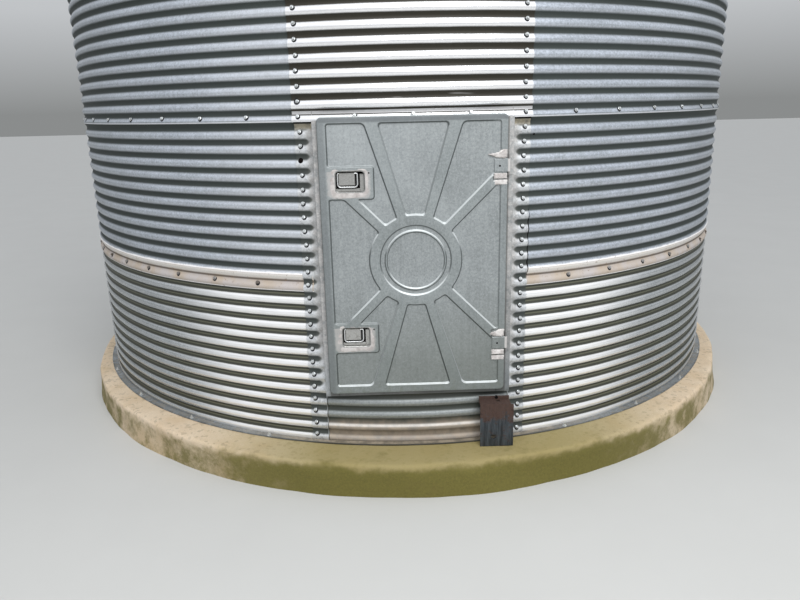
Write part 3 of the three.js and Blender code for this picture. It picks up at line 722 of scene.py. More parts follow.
def sill_zinc():
    """Dull sheet under the door, with sealant run down over its lower half, grime and painted shade in its
    valleys, a painted shadow under the door, and a painted highlight on the sealant just above the second
    crest.
    """
    finish = Finish("sill_zinc", 0.5, 0.42, 0.3)
    around, up, flat = finish.wall_place()
    zinc_base(finish, around, up, "a9aeae", "868b8c")
    # Grime and painted shade in the valleys
    dirt_and_shade = finish.valleys(up, finish.uneven)
    finish.tint(dirt_and_shade * 0.95, "30342e")
    shade = (up - (DOOR_BOTTOM - 0.075)).ramp(0.0, 0.05)
    finish.tint(shade * 0.55, "3b3d39")
    ragged = up + (finish.noise(12.0, 5.0, at=flat) - 0.5) * 0.06
    smear = (0.115 - ragged).ramp(-0.02, 0.03)
    thin = finish.noise(26.0, 5.0).ramp(0.25, 0.65)
    smear = smear * (0.55 + thin * 0.40)
    coat = finish.mix(finish.noise(9.0, 4.0).ramp(0.35, 0.65), "a59a90", "b9ab9b")
    coat = coat.tinted(dirt_and_shade * 0.8, "675b4b")
    # Painted highlight on the sealant's upward-facing flank just above the second crest
    upward_highlight = (up / PITCH).between(1.24, 1.42, 0.05)
    coat = coat.tinted(upward_highlight * 0.7, "f1ece6")
    finish.tint(smear, coat)
    foot = (0.008 - up).ramp(0.0, 0.006)
    finish.tint(foot * 0.4, "2c2719")
    finish.bump(finish.speckle * 0.3 + thin * smear, 0.0014, 0.4)
    gloss = 0.42 + smear * 0.35 + (finish.speckle - 0.5) * 0.16
    return finish.done(gloss, 0.5 * (1.0 - smear) * (1.0 - dirt_and_shade * 0.8))


def base_zinc():
    """The base angle: matt zinc, dark with soil along the front, with a painted shadow line along its outer
    edge.
    """
    finish = Finish("base_zinc", 0.5, 0.5, 0.3)
    x, y, z = finish.parts(finish.place)
    zinc_base(finish, finish.wall_place()[0], z, "a2a7aa", "6f7475")
    front = (1.3 - abs(x)).ramp(0.0, 0.9) * (-y).ramp(1.0, 1.8)
    soil = finish.noise(24.0, 5.0).ramp(0.35, 0.62)
    flat = finish.vector(x, y, 0.0)
    reach = finish.node("ShaderNodeVectorMath", {"operation": "LENGTH"}, {0: flat}, "Value")
    soil_and_edge_shadow = finish.mix(soil, "6f6657", "978b78")
    # A painted shadow line along the outer edge
    soil_and_edge_shadow = soil_and_edge_shadow.tinted((reach - RADIUS).ramp(0.020, 0.030), "2b2618")
    finish.tint(front.largest(soil * 0.5) * 0.9, soil_and_edge_shadow)
    finish.bump(finish.speckle * 0.3 + soil, 0.0012, 0.4)
    return finish.done(0.5 + soil * 0.25, 0.5 * (1.0 - front))


def roof_zinc():
    """Dull sheet of the roof, its collar and its lid."""
    finish = Finish("roof_zinc", 0.6, 0.42)
    z = finish.parts(finish.place)[2]
    zinc_base(finish, finish.wall_place()[0], z, colours().roof_light, colours().roof_dark)
    stain = finish.noise(2.6, 5.0).ramp(0.52, 0.75)
    finish.tint(stain * 0.35, "74736b")
    finish.bump(finish.speckle * 0.3 + finish.cloud, 0.0015, 0.35)
    return finish.done(0.38 + stain * 0.25 + (finish.speckle - 0.5) * 0.2)


def grained(name, metallic, roughness, specular, scale, dark, light, detail=3.0):
    """A finish that is only grain between two colours, for small parts to start from."""
    finish = Finish(name, metallic, roughness, specular)
    finish.speckle = finish.noise(scale, detail)
    finish.colour = finish.mix(finish.speckle, dark, light)
    return finish


def hardware():
    """Plated pins and latch parts, matt, with patches of grime."""
    finish = grained("hardware", 0.75, 0.38, 0.5, 260.0, "92928f", "cac9c6")
    patch = finish.noise(60.0, 4.0).ramp(0.5, 0.75)
    finish.bump(finish.speckle, 0.0004, 0.4)
    finish.tint(patch * 0.5, "6d6a60")
    return finish.done(0.32 + patch * 0.3 + (finish.speckle - 0.5) * 0.25)


def pull_zinc():
    """The latch pulls, rubbed bright by hands."""
    finish = grained("pull_zinc", 0.6, 0.35, 0.5, 260.0, "bcbebe", "dfe0e0")
    finish.bump(finish.speckle, 0.0003, 0.4)
    return finish.done(0.32 + (finish.speckle - 0.5) * 0.2)


def gasket():
    """Dark seals under the bolts' washers; where they stick out they are painted shade for the bolts'
    shadows.
    """
    return grained("gasket", 0.0, 0.75, 0.2, 300.0, "111214", "2b2c30").done()


def dark_gap():
    """Painted shade: the near-black of open bolt holes, the latch trays' depths, the sprung seam's gap and
    the bracket's hole; the small screw heads use it too.
    """
    return grained("dark_gap", 0.0, 0.9, 0.05, 200.0, "080606", "161212", 2.0).done()


def bolt_zinc():
    """Bolts and washers of the wall; those in the coated joint have gone brown."""
    finish = grained("bolt_zinc", 0.75, 0.28, 0.5, 300.0, "b9bec0", "eef0f0")
    around, up = finish.wall_place()[:2]
    age = finish.noise(9.0, 2.0).ramp(0.35, 0.65)
    joint = (abs(up - bolt_up(RING_PITCHES)) - 0.02).ramp(0.004, -0.004)
    away = (abs(around) - 2.3 * STEP * RADIUS).ramp(-0.02, 0.02)
    finish.tint(joint * away * (0.45 + age * 0.5), "5d4c3f")
    finish.bump(finish.speckle, 0.0003, 0.4)
    finish.tint(age * 0.2, "85857c")
    return finish.done(0.28 + joint * 0.3 + (finish.speckle - 0.5) * 0.2)


def rusty_steel():
    """Blue-grey plate, rusted along its top, with streaks running down."""
    finish = Finish("rusty_steel", 0.3, 0.7)
    z = finish.parts(finish.place)[2]
    grain = finish.noise(160.0, 5.0, 0.7)
    patch = finish.noise(26.0, 6.0, 0.7)
    streak = finish.noise(70.0, 4.0, 0.7, stretch=(1.0, 1.0, 0.08))
    high = (z - FOOT - 0.120).ramp(-0.02, 0.09)
    rusted = (patch + high * 0.34 + (streak - 0.5) * 0.25 - 0.10).ramp(0.42, 0.62)
    steel = finish.mix(streak.ramp(0.3, 0.7), "272a2d", "4b5258")
    rust = finish.mix(grain, colours().rust_dark, colours().rust_light)
    finish.colour = finish.mix(rusted * 0.9, steel, rust)
    finish.tint((patch - 0.55).ramp(0.0, 0.15) * rusted, "2a1614")
    finish.bump(grain * 0.7 + rusted * 0.6, 0.0016, 0.7)
    return finish.done(0.5 + rusted * 0.35, 0.5 * (1.0 - rusted))


def concrete():
    """Buff cast concrete: worn, stained, yellow-green at the front, with moss on its sides."""
    finish = Finish("concrete", 0.0, 0.92, 0.3)
    x, y, z = finish.parts(finish.place)
    grain = finish.noise(210.0, 4.0, 0.7)
    gravel = finish.cells(60.0)
    stain = finish.noise(3.4, 6.0, 0.65).ramp(0.35, 0.68)
    finish.colour = finish.mix(grain, colours().concrete_dark, colours().concrete_light)
    finish.tint(stain * 0.5, "bda27c")
    finish.tint(gravel.ramp(0.8, 0.95) * 0.35, "857a68")
    front = (1.55 - abs(x - 0.15)).ramp(0.0, 1.0) * (-y).ramp(1.2, 2.0)
    finish.tint(front * 0.84, "877c48")
    side = (FOOT - 0.012 - z + (finish.noise(8.0, 4.0) - 0.5) * 0.10).ramp(0.0, 0.05)
    patch = finish.noise(5.0, 5.0, 0.7)
    moss = side * (patch + front * 0.16).ramp(0.36, 0.6)
    green = finish.mix(finish.noise(90.0, 3.0), colours().moss, "797239")
    finish.tint(side * 0.25, "8d7f55")
    finish.tint(side * front * 0.80, "5b5422")
    finish.tint(moss * 0.85, green)
    finish.bump(grain * 0.8 + gravel * 0.4 + moss * 0.8, 0.003, 0.6)
    return finish.done()


def sealant():
    """Old cream sealant, pinkish in places, with fine cracks."""
    finish = Finish("sealant", 0.0, 0.75)
    grain = finish.noise(240.0, 4.0)
    patch = finish.noise(35.0, 5.0).ramp(0.35, 0.65)
    fine = finish.noise(90.0, 5.0, 0.7)
    finish.colour = finish.mix(patch, colours().sealant_dark, colours().sealant_light)
    finish.tint(fine.ramp(0.50, 0.72) * 0.35, "a09a96")
    finish.tint(grain.ramp(0.58, 0.75) * 0.35, "807a76")
    at_latches = (-finish.parts(finish.place)[0]).ramp(0.0, 0.1)
    finish.tint(at_latches * 0.38, "8a8380")
    finish.bump(grain + patch, 0.0008, 0.6)
    return finish.done()


FINISHES = {}


def finish_of(make):
    """Each material is made once and shared by all the pieces that have it."""
    if make not in FINISHES:
        FINISHES[make] = make()
    return FINISHES[make]


# Wall

ROWS = 10                                # of faces to one wave
COLUMNS = 3                              # of faces to one bolt space


def seam_step():
    """How far a lapping edge stands off the sheet under it."""
    return 1.25 * sizes().gauge


def unit_step():
    """How far the door unit and its header stand off the sheets beside them."""
    return 2.7 * sizes().gauge


def ring_step():
    """How far a ring's foot stands off the ring under it."""
    return 1.3 * seam_step()


def foot_share(pitch):
    """1 at the foot of a ring, 0 from its second wave up."""
    return 1 - smooth_step(1.02, 1.9, pitch)


def bolt_up(crest):
    """The height of the bolts by a crest that is counted from 0."""
    return (crest + 0.5) * PITCH


def sheet_grid(low, high, start, end, lift):
    """A corrugated sheet between two heights in pitches and two angles, as a closed piece."""
    ups = np.linspace(low, high, round((high - low) * ROWS) + 1) * PITCH
    turns = np.linspace(start, end, round((end - start) / STEP * COLUMNS) + 1)
    turn, up = np.meshgrid(turns, ups)
    outer = on_wall(turn, up, lift(turn, up))
    inner = on_wall(turn, up, lift(turn, up) - sizes().gauge)
    return thick_grid(outer, inner)


def seam_angles(ring):
    """Where the sheets of a ring meet, from the first one's start to the last one's end.

    They leave out the door's own bolt spaces, but not in the top ring.
    """
    beside_door = ring < RINGS - 1
    spaces = (BOLTS - 2 * DOOR_SPACES if beside_door else BOLTS) // SHEETS
    first = DOOR_SPACES if beside_door else DOOR_SPACES + spaces // 2
    return [(first + i * spaces) * STEP for i in range(SHEETS + 1)]


def make_wall():
    for ring in range(RINGS):
        low, top = ring * RING_PITCHES, ring == RINGS - 1
        seams = seam_angles(ring)
        for i in range(SHEETS):
            start, end = seams[i] - LAP, seams[i + 1] + LAP

            def lift(turn, up, end=end, low=low, top=top):
                away = np.abs((turn + math.pi) % (2 * math.pi) - math.pi)
                over_header = (unit_step() if top else 0) * (1 - smooth_step(0.27, 0.34, away))
                foot = (ring_step() + over_header) * foot_share(up / PITCH - low) * (low > 0)
                return foot + seam_step() * smooth_step(end - 2.4 * LAP, end - 2 * LAP, turn)

            high = low + (TOP_PITCHES if top else LAPPED_PITCHES)
            sheet = sheet_grid(low + LAP_EDGE[ring], high, start, end, lift)
            finish = zinc_weathered if ring else zinc_bright
            node = f"ring{ring + 1}_sheet_{i + 1}"
            mesh_piece(f"wall_{node}", sheet, finish, [node], 60)


def header_lift(turn, up):
    """How far the header stands off the wall: over the jambs' flanges, and clear of the door."""
    pitch = up / PITCH - UNIT_TOP
    beside = smooth_step(0.200, 0.214, np.abs(turn))
    clear_of_door = np.maximum(beside, smooth_step(0.55, 1.4, pitch))
    unit = unit_step() * (1 - smooth_step(10.9, 11.9, pitch))
    foot = (unit_step() + ring_step()) * 0.8 * beside * foot_share(pitch)
    return (unit + foot) * clear_of_door


def hem_lift(turn, up):
    return header_lift(turn, up) + sizes().gauge


def make_header():
    """The sheet over the door, with its folded lower hem."""
    edge = DOOR_SEAM + LAP
    sheet = sheet_grid(UNIT_TOP + HEADER_EDGE, UNIT_TOP + LAPPED_PITCHES, -edge, edge, header_lift)
    hem = sheet_grid(UNIT_TOP + HEADER_EDGE, UNIT_TOP + HEM_TOP, -edge, edge, hem_lift)
    mesh_piece("wall_header", merged([sheet, hem]), zinc_header, ["header_sheet"], 60)


def make_sill():
    """The corrugated sheet under the door, on behind the feet of the jambs."""
    reach = math.asin((FRAME_HALF_W - 0.0005) / RADIUS)
    sheet = sheet_grid(0, 4.0, -reach, reach, lambda turn, up: 0 * turn)
    mesh_piece("wall_sill", sheet, sill_zinc, ["sill_sheet"], 60)


def make_jamb(side):
    """One folded sheet: reveal edge, face, web and corrugated flange. Only the flange is full height."""
    high = UNIT_TOP + 0.9
    web = math.asin(FRAME_HALF_W / RADIUS)
    ups = np.linspace(0, high, round(high * ROWS) + 1) * PITCH
    bend, reveal = 0.0025, -0.030
    fold = [(CLEAR_HALF_W, reveal), (CLEAR_HALF_W, -bend), (CLEAR_HALF_W + bend, 0.0),
            (FRAME_HALF_W - bend, 0.0), (FRAME_HALF_W - bend * 0.3, -bend * 0.3), (FRAME_HALF_W, -bend),
            (FRAME_HALF_W, reveal)]
    close = np.array([0.002, 0.005, 0.009, 0.013, 0.018, 0.024, 0.031, 0.04]) / RADIUS
    flange = np.concatenate([web + close, np.linspace(web + 0.055 / RADIUS, FLANGE_EDGE, 6)])
    from_web = (flange - web) * RADIUS
    rounded = np.sqrt(np.clip(1 - (1 - np.clip(from_web / 0.026, 0, 1)) ** 2, 0, 1))
    rows = []
    for up in ups:
        lift = unit_step() * (1 - 0.30 * smooth_step(UNIT_TOP - 0.6, UNIT_TOP, up / PITCH))
        flat_share = rounded if up >= FRAME_FOOT else 1.0
        reach = RADIUS - wave(up) * flat_share + dent(side * flange, up) + lift
        rows.append([(x, -RADIUS - out, FOOT + up) for x, out in fold]
                    + [(r * math.sin(a), -r * math.cos(a), FOOT + up) for r, a in zip(reach, flange)])
    outer = np.array(rows)
    along = np.gradient(outer, axis=1)
    normal = np.stack([along[..., 1], -along[..., 0], 0 * along[..., 0]], -1)
    normal /= np.maximum(np.linalg.norm(normal, axis=-1, keepdims=True), 1e-9)
    inner = outer - normal * sizes().gauge
    keep = np.ones((outer.shape[0] - 1, outer.shape[1] - 1), bool)
    keep[ups[1:] > (UNIT_TOP + 0.2) * PITCH + 1e-6, :len(fold)] = False
    keep[ups[:-1] < FRAME_FOOT, :len(fold)] = False
    sheet = used_only(*thick_grid(outer, inner, keep))
    top = UNIT_TOP * PITCH
    lining_x = CLEAR_HALF_W + sizes().gauge
    lining = box_at(CLEAR_HALF_W, lining_x, CLEAR_BOTTOM, CLEAR_TOP, -0.072, -0.002, 0.0005)
    cap = box_at(CLEAR_HALF_W, FRAME_HALF_W - 0.001, top - 0.003, top - 0.001, -0.060, -0.001, 0.0003)
    points, faces = merged([sheet, lining, cap])
    shape = (points, faces) if side > 0 else flipped(([(-x, y, z) for x, y, z in points], faces))
    node = f"{'right' if side > 0 else 'left'}_jamb"
    mesh_piece(f"frame_{node}", shape, frame_zinc, [node], 50)


# Bolts

SEAL_SHADOW_SHIFT = (0.0032, -0.0042)           # the dark seals are set down and toward the door's side, so that they show as the bolts' painted shadows
RIGHT_COLUMN_SHIFT = -0.0026             # the bolts right of the door stand this angle nearer to it
MISSING_BOLT = ("left", 21)              # beside the door, and on the crest with this number
SQUEEZED_SEAL = 25                       # the same, left of the door
ODD_HOLE = (DOOR_SEAM + 0.020, 22.93 * PITCH)


def washer_and_head():
    """A bolt's round and six-sided discs, each a list of (radius, height) and a count of sides."""
    r = sizes().washer
    return [([(r, -0.003), (r, 0.0022), (r * 0.83, 0.0036)], 14),
            ([(r * 0.72, 0.0026), (r * 0.72, 0.0078), (r * 0.60, 0.0090)], 6)]


def seal_disc():
    r = sizes().seal
    return [([(r, -0.004), (r, 0.0010), (r * 0.92, 0.0017)], 14)]


def bolt_shape(turn, size, profiles):
    """Discs standing on a flat face."""
    return merged([loft([[(x, y, out * size) for x, y in circle(0, 0, r * size, sides, turn)]
                         for r, out in profile]) for profile, sides in profiles])


def on_flank(shape, angle, up, lift, shift=(0.0, 0.0)):
    """Sets a shape drawn on a flat face square to the wall's own flank."""
    points, faces = shape
    tilt = 0.8 * flank_tilt(up)
    reach = RADIUS - float(wave(up)) + float(dent(angle, up)) + lift
    sin, cos = math.sin(angle), math.cos(angle)
    placed = []
    for t, z, n in points:
        t, z = t + shift[0], z + shift[1]
        out = reach + n * math.cos(tilt) - z * math.sin(tilt)
        level = FOOT + up + n * math.sin(tilt) + z * math.cos(tilt)
        placed.append((out * sin + t * cos, -out * cos + t * sin, level))
    return placed, faces


def draped(shape, angle, up, lift):
    """Lays a thin shape drawn on a flat face along the waves of the wall."""
    points, faces = shape
    return [tuple(on_wall(angle + t / RADIUS, up + z, lift + n)) for t, z, n in points], faces


def bolts_piece(name, places):
    """Bolts at (angle, up, lift), each with the seal under its washer, set off as the bolt's painted
    shadow.
    """
    shake = random.Random(name)
    bolts, seals = [], []
    for angle, up, lift in places:
        angle += shake.uniform(-0.0011, 0.0011)
        up += shake.uniform(-0.0015, 0.0015)
        turn, size = shake.uniform(0, 1.05), shake.uniform(0.96, 1.04)
        # The seal is set off so that it shows as the bolt's painted shadow
        shadow_shift = (math.copysign(SEAL_SHADOW_SHIFT[0], -angle), SEAL_SHADOW_SHIFT[1])
        bolts.append(on_flank(bolt_shape(turn, size, washer_and_head()), angle, up, lift))
        seals.append(on_flank(bolt_shape(turn, size, seal_disc()), angle, up, lift, shadow_shift))
    mesh_piece(name, merged(bolts), bolt_zinc, sharp=30)
    mesh_piece(f"{name}_seals", merged(seals), gasket, sharp=30)


def open_hole(angle, up, lift, radius):
    """A bolt hole as a near-black disc of painted shade, just proud of the sheet."""
    edges = ((radius, -0.001), (radius, 0.0009), (radius * 0.5, 0.0009))
    spot = loft([[(x, y, out) for x, y in circle(0, 0, r, 18)] for r, out in edges])
    return draped(spot, angle, up, lift)


def make_open_seam():
    """The jamb's flange has sprung off the sheet at the right; a near-black strip of painted shade in the
    gap shows as a wavy dark line.
    """
    ups = np.linspace(12.55, 17.7, 90) * PITCH
    swell = np.abs(np.sin(ups * 41)) * (0.5 + 0.5 * np.sin(ups * 13 + 1))
    wide = np.maximum(0.0016 + 0.0022 * swell + 0.0012 * np.sin(ups * 90), 0.0008)
    wide = wide * smooth_step(0, 0.05, ups - ups[0]) * smooth_step(0, 0.09, ups[-1] - ups) + 0.0003
    middle = FLANGE_EDGE + 0.0012 + 0.0008 * np.sin(ups * 23) + 0.0005 * np.sin(ups * 71)
    edges = [on_wall(middle + side * wide / RADIUS, ups, unit_step() - sizes().gauge + out)
             for side, out in ((-1, -0.001), (-1, 0.0008), (1, 0.0008), (1, -0.001))]
    mesh_piece("seam_gap_right", flipped(loft(list(zip(*edges)))), dark_gap)


def make_joint_bolts():
    """The bolts of the joints between the rings. Only the header has them over the door."""
    for joint in range(1, RINGS):
        places = []
        for k in range(BOLTS):
            angle = (k - BOLTS // 2) * STEP
            at_door_unit, over_door = abs(angle) < DOOR_SEAM + 0.01, abs(angle) < DOOR_SEAM - 0.01
            if joint < 3 and at_door_unit and not (joint == 2 and over_door):
                continue
            off = -0.0035 if joint == 1 and angle < 0 else 0
            lift = ring_step() if abs(angle) > DOOR_SEAM else 0.0006 + sizes().gauge
            places.append((angle + off, bolt_up(joint * RING_PITCHES), lift))
        bolts_piece(f"bolts_ring_joint_{joint}", places)


def make_door_bolts():
    """The bolts left and right of the door, but for the missing one."""
    for side, name in ((-1, "left"), (1, "right")):
        places = []
        for crest in range(3 * RING_PITCHES - 1):
            if (name, crest) == MISSING_BOLT:
                continue
            angle = side * DOOR_SEAM + (RIGHT_COLUMN_SHIFT if side > 0 else 0)
            up = bolt_up(crest)
            lift = unit_step()
            if crest >= UNIT_TOP:
                lift = float((hem_lift if crest == UNIT_TOP else header_lift)(angle, up))
            places.append((angle, up, lift))
        bolts_piece(f"bolts_{name}_of_door", places)


def make_seam_bolts():
    """The bolts where two sheets of a ring meet."""
    places = []
    for ring in range(RINGS):
        beside_door = ring < RINGS - 1
        for angle in seam_angles(ring)[beside_door:SHEETS]:
            for crest in range(1 if ring else 0, RING_PITCHES - 1 + beside_door):
                places.append((angle, bolt_up(ring * RING_PITCHES + crest), seam_step()))
    bolts_piece("bolts_sheet_seams", places)


def make_open_holes():
    """The missing bolt's hole, and the small odd one near the door's upper right corner."""
    holes = [open_hole(-DOOR_SEAM, bolt_up(MISSING_BOLT[1]), unit_step(), 0.0125),
             open_hole(*ODD_HOLE, 0.0006, 0.0045)]
    mesh_piece("holes_of_missing_bolts", merged(holes), dark_gap)


def make_squeezed_seal():
    """A seal that was squeezed out round one bolt of the header."""
    turns = [math.radians(100 + 235 * i / 14) for i in range(15)]
    ring = tube([(0.0127 * math.cos(a), 0.0127 * math.sin(a), 0.0014) for a in turns], 0.0030, sides=8)
    up = bolt_up(SQUEEZED_SEAL)
    squeezed = draped(ring, -DOOR_SEAM, up, float(header_lift(-DOOR_SEAM, up)))
    mesh_piece("seal_squeezed_out", squeezed, gasket)


# Door

MM = 0.001
FIELD_RUN = 0.008                        # how wide the slope from the raised parts into the fields is
DOOR_SKIN = 0.002
RIM_THICK = 0.003
RAYS = [(17, 0.053), (-17, 0.053), (163, 0.053), (-163, 0.053),     # degrees from upright, and width
        (45, 0.040), (-45, 0.040), (135, 0.040), (-135, 0.040)]     # at the far end
RAY_AT_HUB = 0.037
RAY_REACH = 0.660
SLOPE_LINES = (-0.25, 0.0, 0.09, 0.18, 0.36, 0.5, 0.64, 0.82, 0.91, 1.0, 1.25)    # in field runs
EDGE_LINES = (0.0005, 0.0015, 0.0035, 0.012)                                       # in from the edge
HUB_LINES = (0.1765, 0.174, 0.1715, 0.169, 0.1665, 0.1525, 0.1505, 0.1485, 0.1465, 0.1445, 0.142, 0.140,
             0.138, 0.1365, 0.1345)


def rect_distance(x, up, x0, x1, up0, up1, corner):
    """Signed distance to a rectangle with round corners, negative inside."""
    dx = np.abs(x - (x0 + x1) / 2) - (x1 - x0) / 2 + corner
    dy = np.abs(up - (up0 + up1) / 2) - (up1 - up0) / 2 + corner
    outside = np.hypot(np.maximum(dx, 0), np.maximum(dy, 0))
    return outside + np.minimum(np.maximum(dx, dy), 0) - corner


def soft_min(a, b, reach):
    """The smaller of two distances, with a fillet where they meet."""
    h = np.maximum(reach - np.abs(a - b), 0) / reach
    return np.minimum(a, b) - h * h * reach / 4


DOOR_OUTLINE = rounded_rect(DOOR_LEFT, DOOR_RIGHT, DOOR_BOTTOM, DOOR_TOP, DOOR_CORNER, 8)


def inside_outline(x, up):
    return -rect_distance(x, up, DOOR_LEFT, DOOR_RIGHT, DOOR_BOTTOM, DOOR_TOP, DOOR_CORNER)


def off_raised(x, up):
    """Distance from the raised border, rays, hub and latch pads into the pressed-in fields."""
    gap = -rect_distance(x, up, *FIELDS, 0.014)
    hub = np.hypot(x, up - HUB_UP) - HUB_R
    for degrees, far_width in RAYS:
        a = math.radians(degrees)
        along = x * math.sin(a) + (up - HUB_UP) * math.cos(a)
        across = x * math.cos(a) - (up - HUB_UP) * math.sin(a)
        half = (RAY_AT_HUB + (far_width - RAY_AT_HUB) * (along - HUB_R) / (RAY_REACH - HUB_R)) / 2
        gap = soft_min(gap, np.maximum(np.abs(across) - half, 0.05 - along), 0.020)
    gap = soft_min(gap, hub, 0.014)
    for up_latch in LATCH_UPS.values():
        w, below, above = LATCH_PAD
        sides = LATCH_X - w / 2, LATCH_X + w / 2, up_latch + below, up_latch + above
        gap = soft_min(gap, rect_distance(x, up, *sides, 0.010), 0.012)
    w, h = HINGE_POCKET
    for up_hinge in HINGE_UPS.values():
        sides = DOOR_RIGHT - w, DOOR_RIGHT + w, up_hinge - h / 2, up_hinge + h / 2
        gap = np.maximum(gap, -rect_distance(x, up, *sides, 0.006))
    return gap


def door_out(x, up):
    """How far out the door's front face stands."""
    x, up = np.asarray(x, float), np.asarray(up, float)
    out = DOOR_OUT - (DOOR_OUT - DOOR_FIELD) * smooth_step(0, FIELD_RUN, off_raised(x, up))
    r = np.hypot(x, up - HUB_UP)
    groove = (1 - smooth_step(GROOVE_R - 0.009, GROOVE_R, r)) * smooth_step(BEAD_R, BEAD_R + 0.007, r)
    disc = 1 - smooth_step(DISC_R - 0.001, DISC_R + 0.006, r)
    out = out - 0.0065 * groove - 0.005 * disc
    edge = 1 - np.clip(inside_outline(x, up) / 0.0035, 0, 1)
    out = out - 0.0035 * (1 - np.sqrt(np.clip(1 - edge * edge, 0, 1)))
    flat = smooth_step(0.004, 0.03, inside_outline(x, up))
    return out + flat * (0.0005 * np.sin(9 * x + 1) * np.sin(7 * up) + 0.0004 * np.sin(23 * x - 15 * up))


def level_lines(distance, levels, x0, x1, up0, up1, cell):
    """Segments along which a distance has the given levels, found cell by cell."""
    xs = np.arange(x0, x1 + cell, cell)
    ups = np.arange(up0, up1 + cell, cell)
    grid_x, grid_up = np.meshgrid(xs, ups)
    value = distance(grid_x, grid_up)
    points, edges = [], []
    for level in levels:
        known = {}
        signed = value - level
        signed[signed == 0] = 1e-9
        inside = signed > 0

        def crossing(r0, c0, r1, c1):
            key = (r0, c0, r1, c1)
            if key not in known:
                a, b = signed[r0, c0], signed[r1, c1]
                t = a / (a - b)
                known[key] = len(points)
                points.append((xs[c0] + t * (xs[c1] - xs[c0]), ups[r0] + t * (ups[r1] - ups[r0])))
            return known[key]

        corners = inside[:-1, :-1] * 1 + inside[:-1, 1:] * 2 + inside[1:, 1:] * 4 + inside[1:, :-1] * 8
        for r, c in np.argwhere((corners > 0) & (corners < 15)):
            sides = [(r, c, r, c + 1), (r, c + 1, r + 1, c + 1), (r + 1, c, r + 1, c + 1), (r, c, r + 1, c)]
            cut = [crossing(*s) for s in sides if inside[s[0], s[1]] != inside[s[2], s[3]]]
            edges.extend(zip(cut[::2], cut[1::2]))
    return points, edges


def closed_loop(points):
    return points, [(i, (i + 1) % len(points)) for i in range(len(points))]


def latch_box(up, inset=0.0):
    """The sides of a latch's tray."""
    return (LATCH_X - TRAY_HALF_W + inset, LATCH_X + TRAY_HALF_W - inset,
            up - TRAY_HALF_H + inset, up + TRAY_HALF_H - inset)


def latch_cut(up, inset=0.0):
    """The outline of a latch's tray."""
    return rounded_rect(*latch_box(up, inset), LATCH_CORNER - inset * 0.5, 5)


def door_cells():
    """The door's face in triangles cut along its pressed lines, with their points in x and up."""
    margin = 0.01
    span = (DOOR_LEFT - margin, DOOR_RIGHT + margin, DOOR_BOTTOM - margin, DOOR_TOP + margin)
    drawn = [level_lines(off_raised, [FIELD_RUN * t for t in SLOPE_LINES], *span, 0.006),
             level_lines(inside_outline, EDGE_LINES, *span, 0.006), closed_loop(DOOR_OUTLINE)]
    drawn += [closed_loop(circle(0, HUB_UP, r, 96)) for r in HUB_LINES]
    drawn += [closed_loop(latch_cut(up)) for up in LATCH_UPS.values()]
    loose = [(x, up) for x in np.arange(-0.42, 0.43, 0.06) for up in np.arange(0.31, 1.64, 0.06)]
    drawn.append((loose, []))
    points, edges = [], []
    for some, joined in drawn:
        edges.extend((a + len(points), b + len(points)) for a, b in joined)
        points.extend(some)
    in_mm = [Vector((x / MM, up / MM)) for x, up in points]
    flat, _, cells, *_ = delaunay_2d_cdt(in_mm, edges, [], 0, 0.02)
    flat = np.array([(p.x * MM, p.y * MM) for p in flat])
    kept = []
    for a, b, c in cells:
        x, up = (flat[a] + flat[b] + flat[c]) / 3
        if inside_outline(x, up) < 0:
            continue
        if any(rect_distance(x, up, *latch_box(u), LATCH_CORNER) < 0 for u in LATCH_UPS.values()):
            continue
        (ax, ay), (bx, by), (cx, cy) = flat[a], flat[b], flat[c]
        area = (bx - ax) * (cy - ay) - (cx - ax) * (by - ay)
        if abs(area) > 1e-12:
            kept.append((a, b, c) if area > 0 else (a, c, b))
    return flat, kept


def make_door():
    flat, cells = door_cells()
    outs = door_out(flat[:, 0], flat[:, 1])
    front = [at_door(x, up, out) for (x, up), out in zip(flat, outs)]
    back = [at_door(x, up, out - DOOR_SKIN) for (x, up), out in zip(flat, outs)]
    skin = used_only(front + back, thick_faces(cells, len(front)))
    rim = loft([rim_section(x, up) for x, up in densified(DOOR_OUTLINE, 0.02)], ring=True)
    mesh_piece("door_leaf", merged([skin, rim]), door_zinc, ["door_panel"], 35, "door")


def densified(points, step):
    """A closed outline with no side longer than a step."""
    made = []
    for (ax, ay), (bx, by) in zip(points, points[1:] + points[:1]):
        count = max(1, math.ceil(math.hypot(bx - ax, by - ay) / step))
        made.extend((ax + (bx - ax) * i / count, ay + (by - ay) * i / count) for i in range(count))
    return made


def rim_section(x, up):
    """The folded-back rim of the door at one point of its outline."""
    top = float(door_out(x, up))
    step = 1e-4
    slope_x = float(inside_outline(x + step, up) - inside_outline(x - step, up))
    slope_up = float(inside_outline(x, up + step) - inside_outline(x, up - step))
    size = max(math.hypot(slope_x, slope_up), 1e-9)
    in_x, in_up = slope_x / size * RIM_THICK, slope_up / size * RIM_THICK
    return [at_door(x + right, up + over, out) for right, over, out in
            ((0, 0, DOOR_BACK), (0, 0, top), (in_x, in_up, top), (in_x, in_up, DOOR_BACK))]


# Latches and hinges

BLOCK_X = (-0.0545, 0.0240)              # the block's sides, from the middle of the latch
BLOCK_UP = (-0.0185, 0.0420)
RING_X = LATCH_X - 0.0115
RING_HALF_W = 0.0465
RING_DROP = 0.064
RING_RISE = 0.039
RING_OUT = 0.0155
FLOOR_X = 0.0455                         # the tray's raised floor lies right of this and below the pull
FLOOR_UP = -0.0325


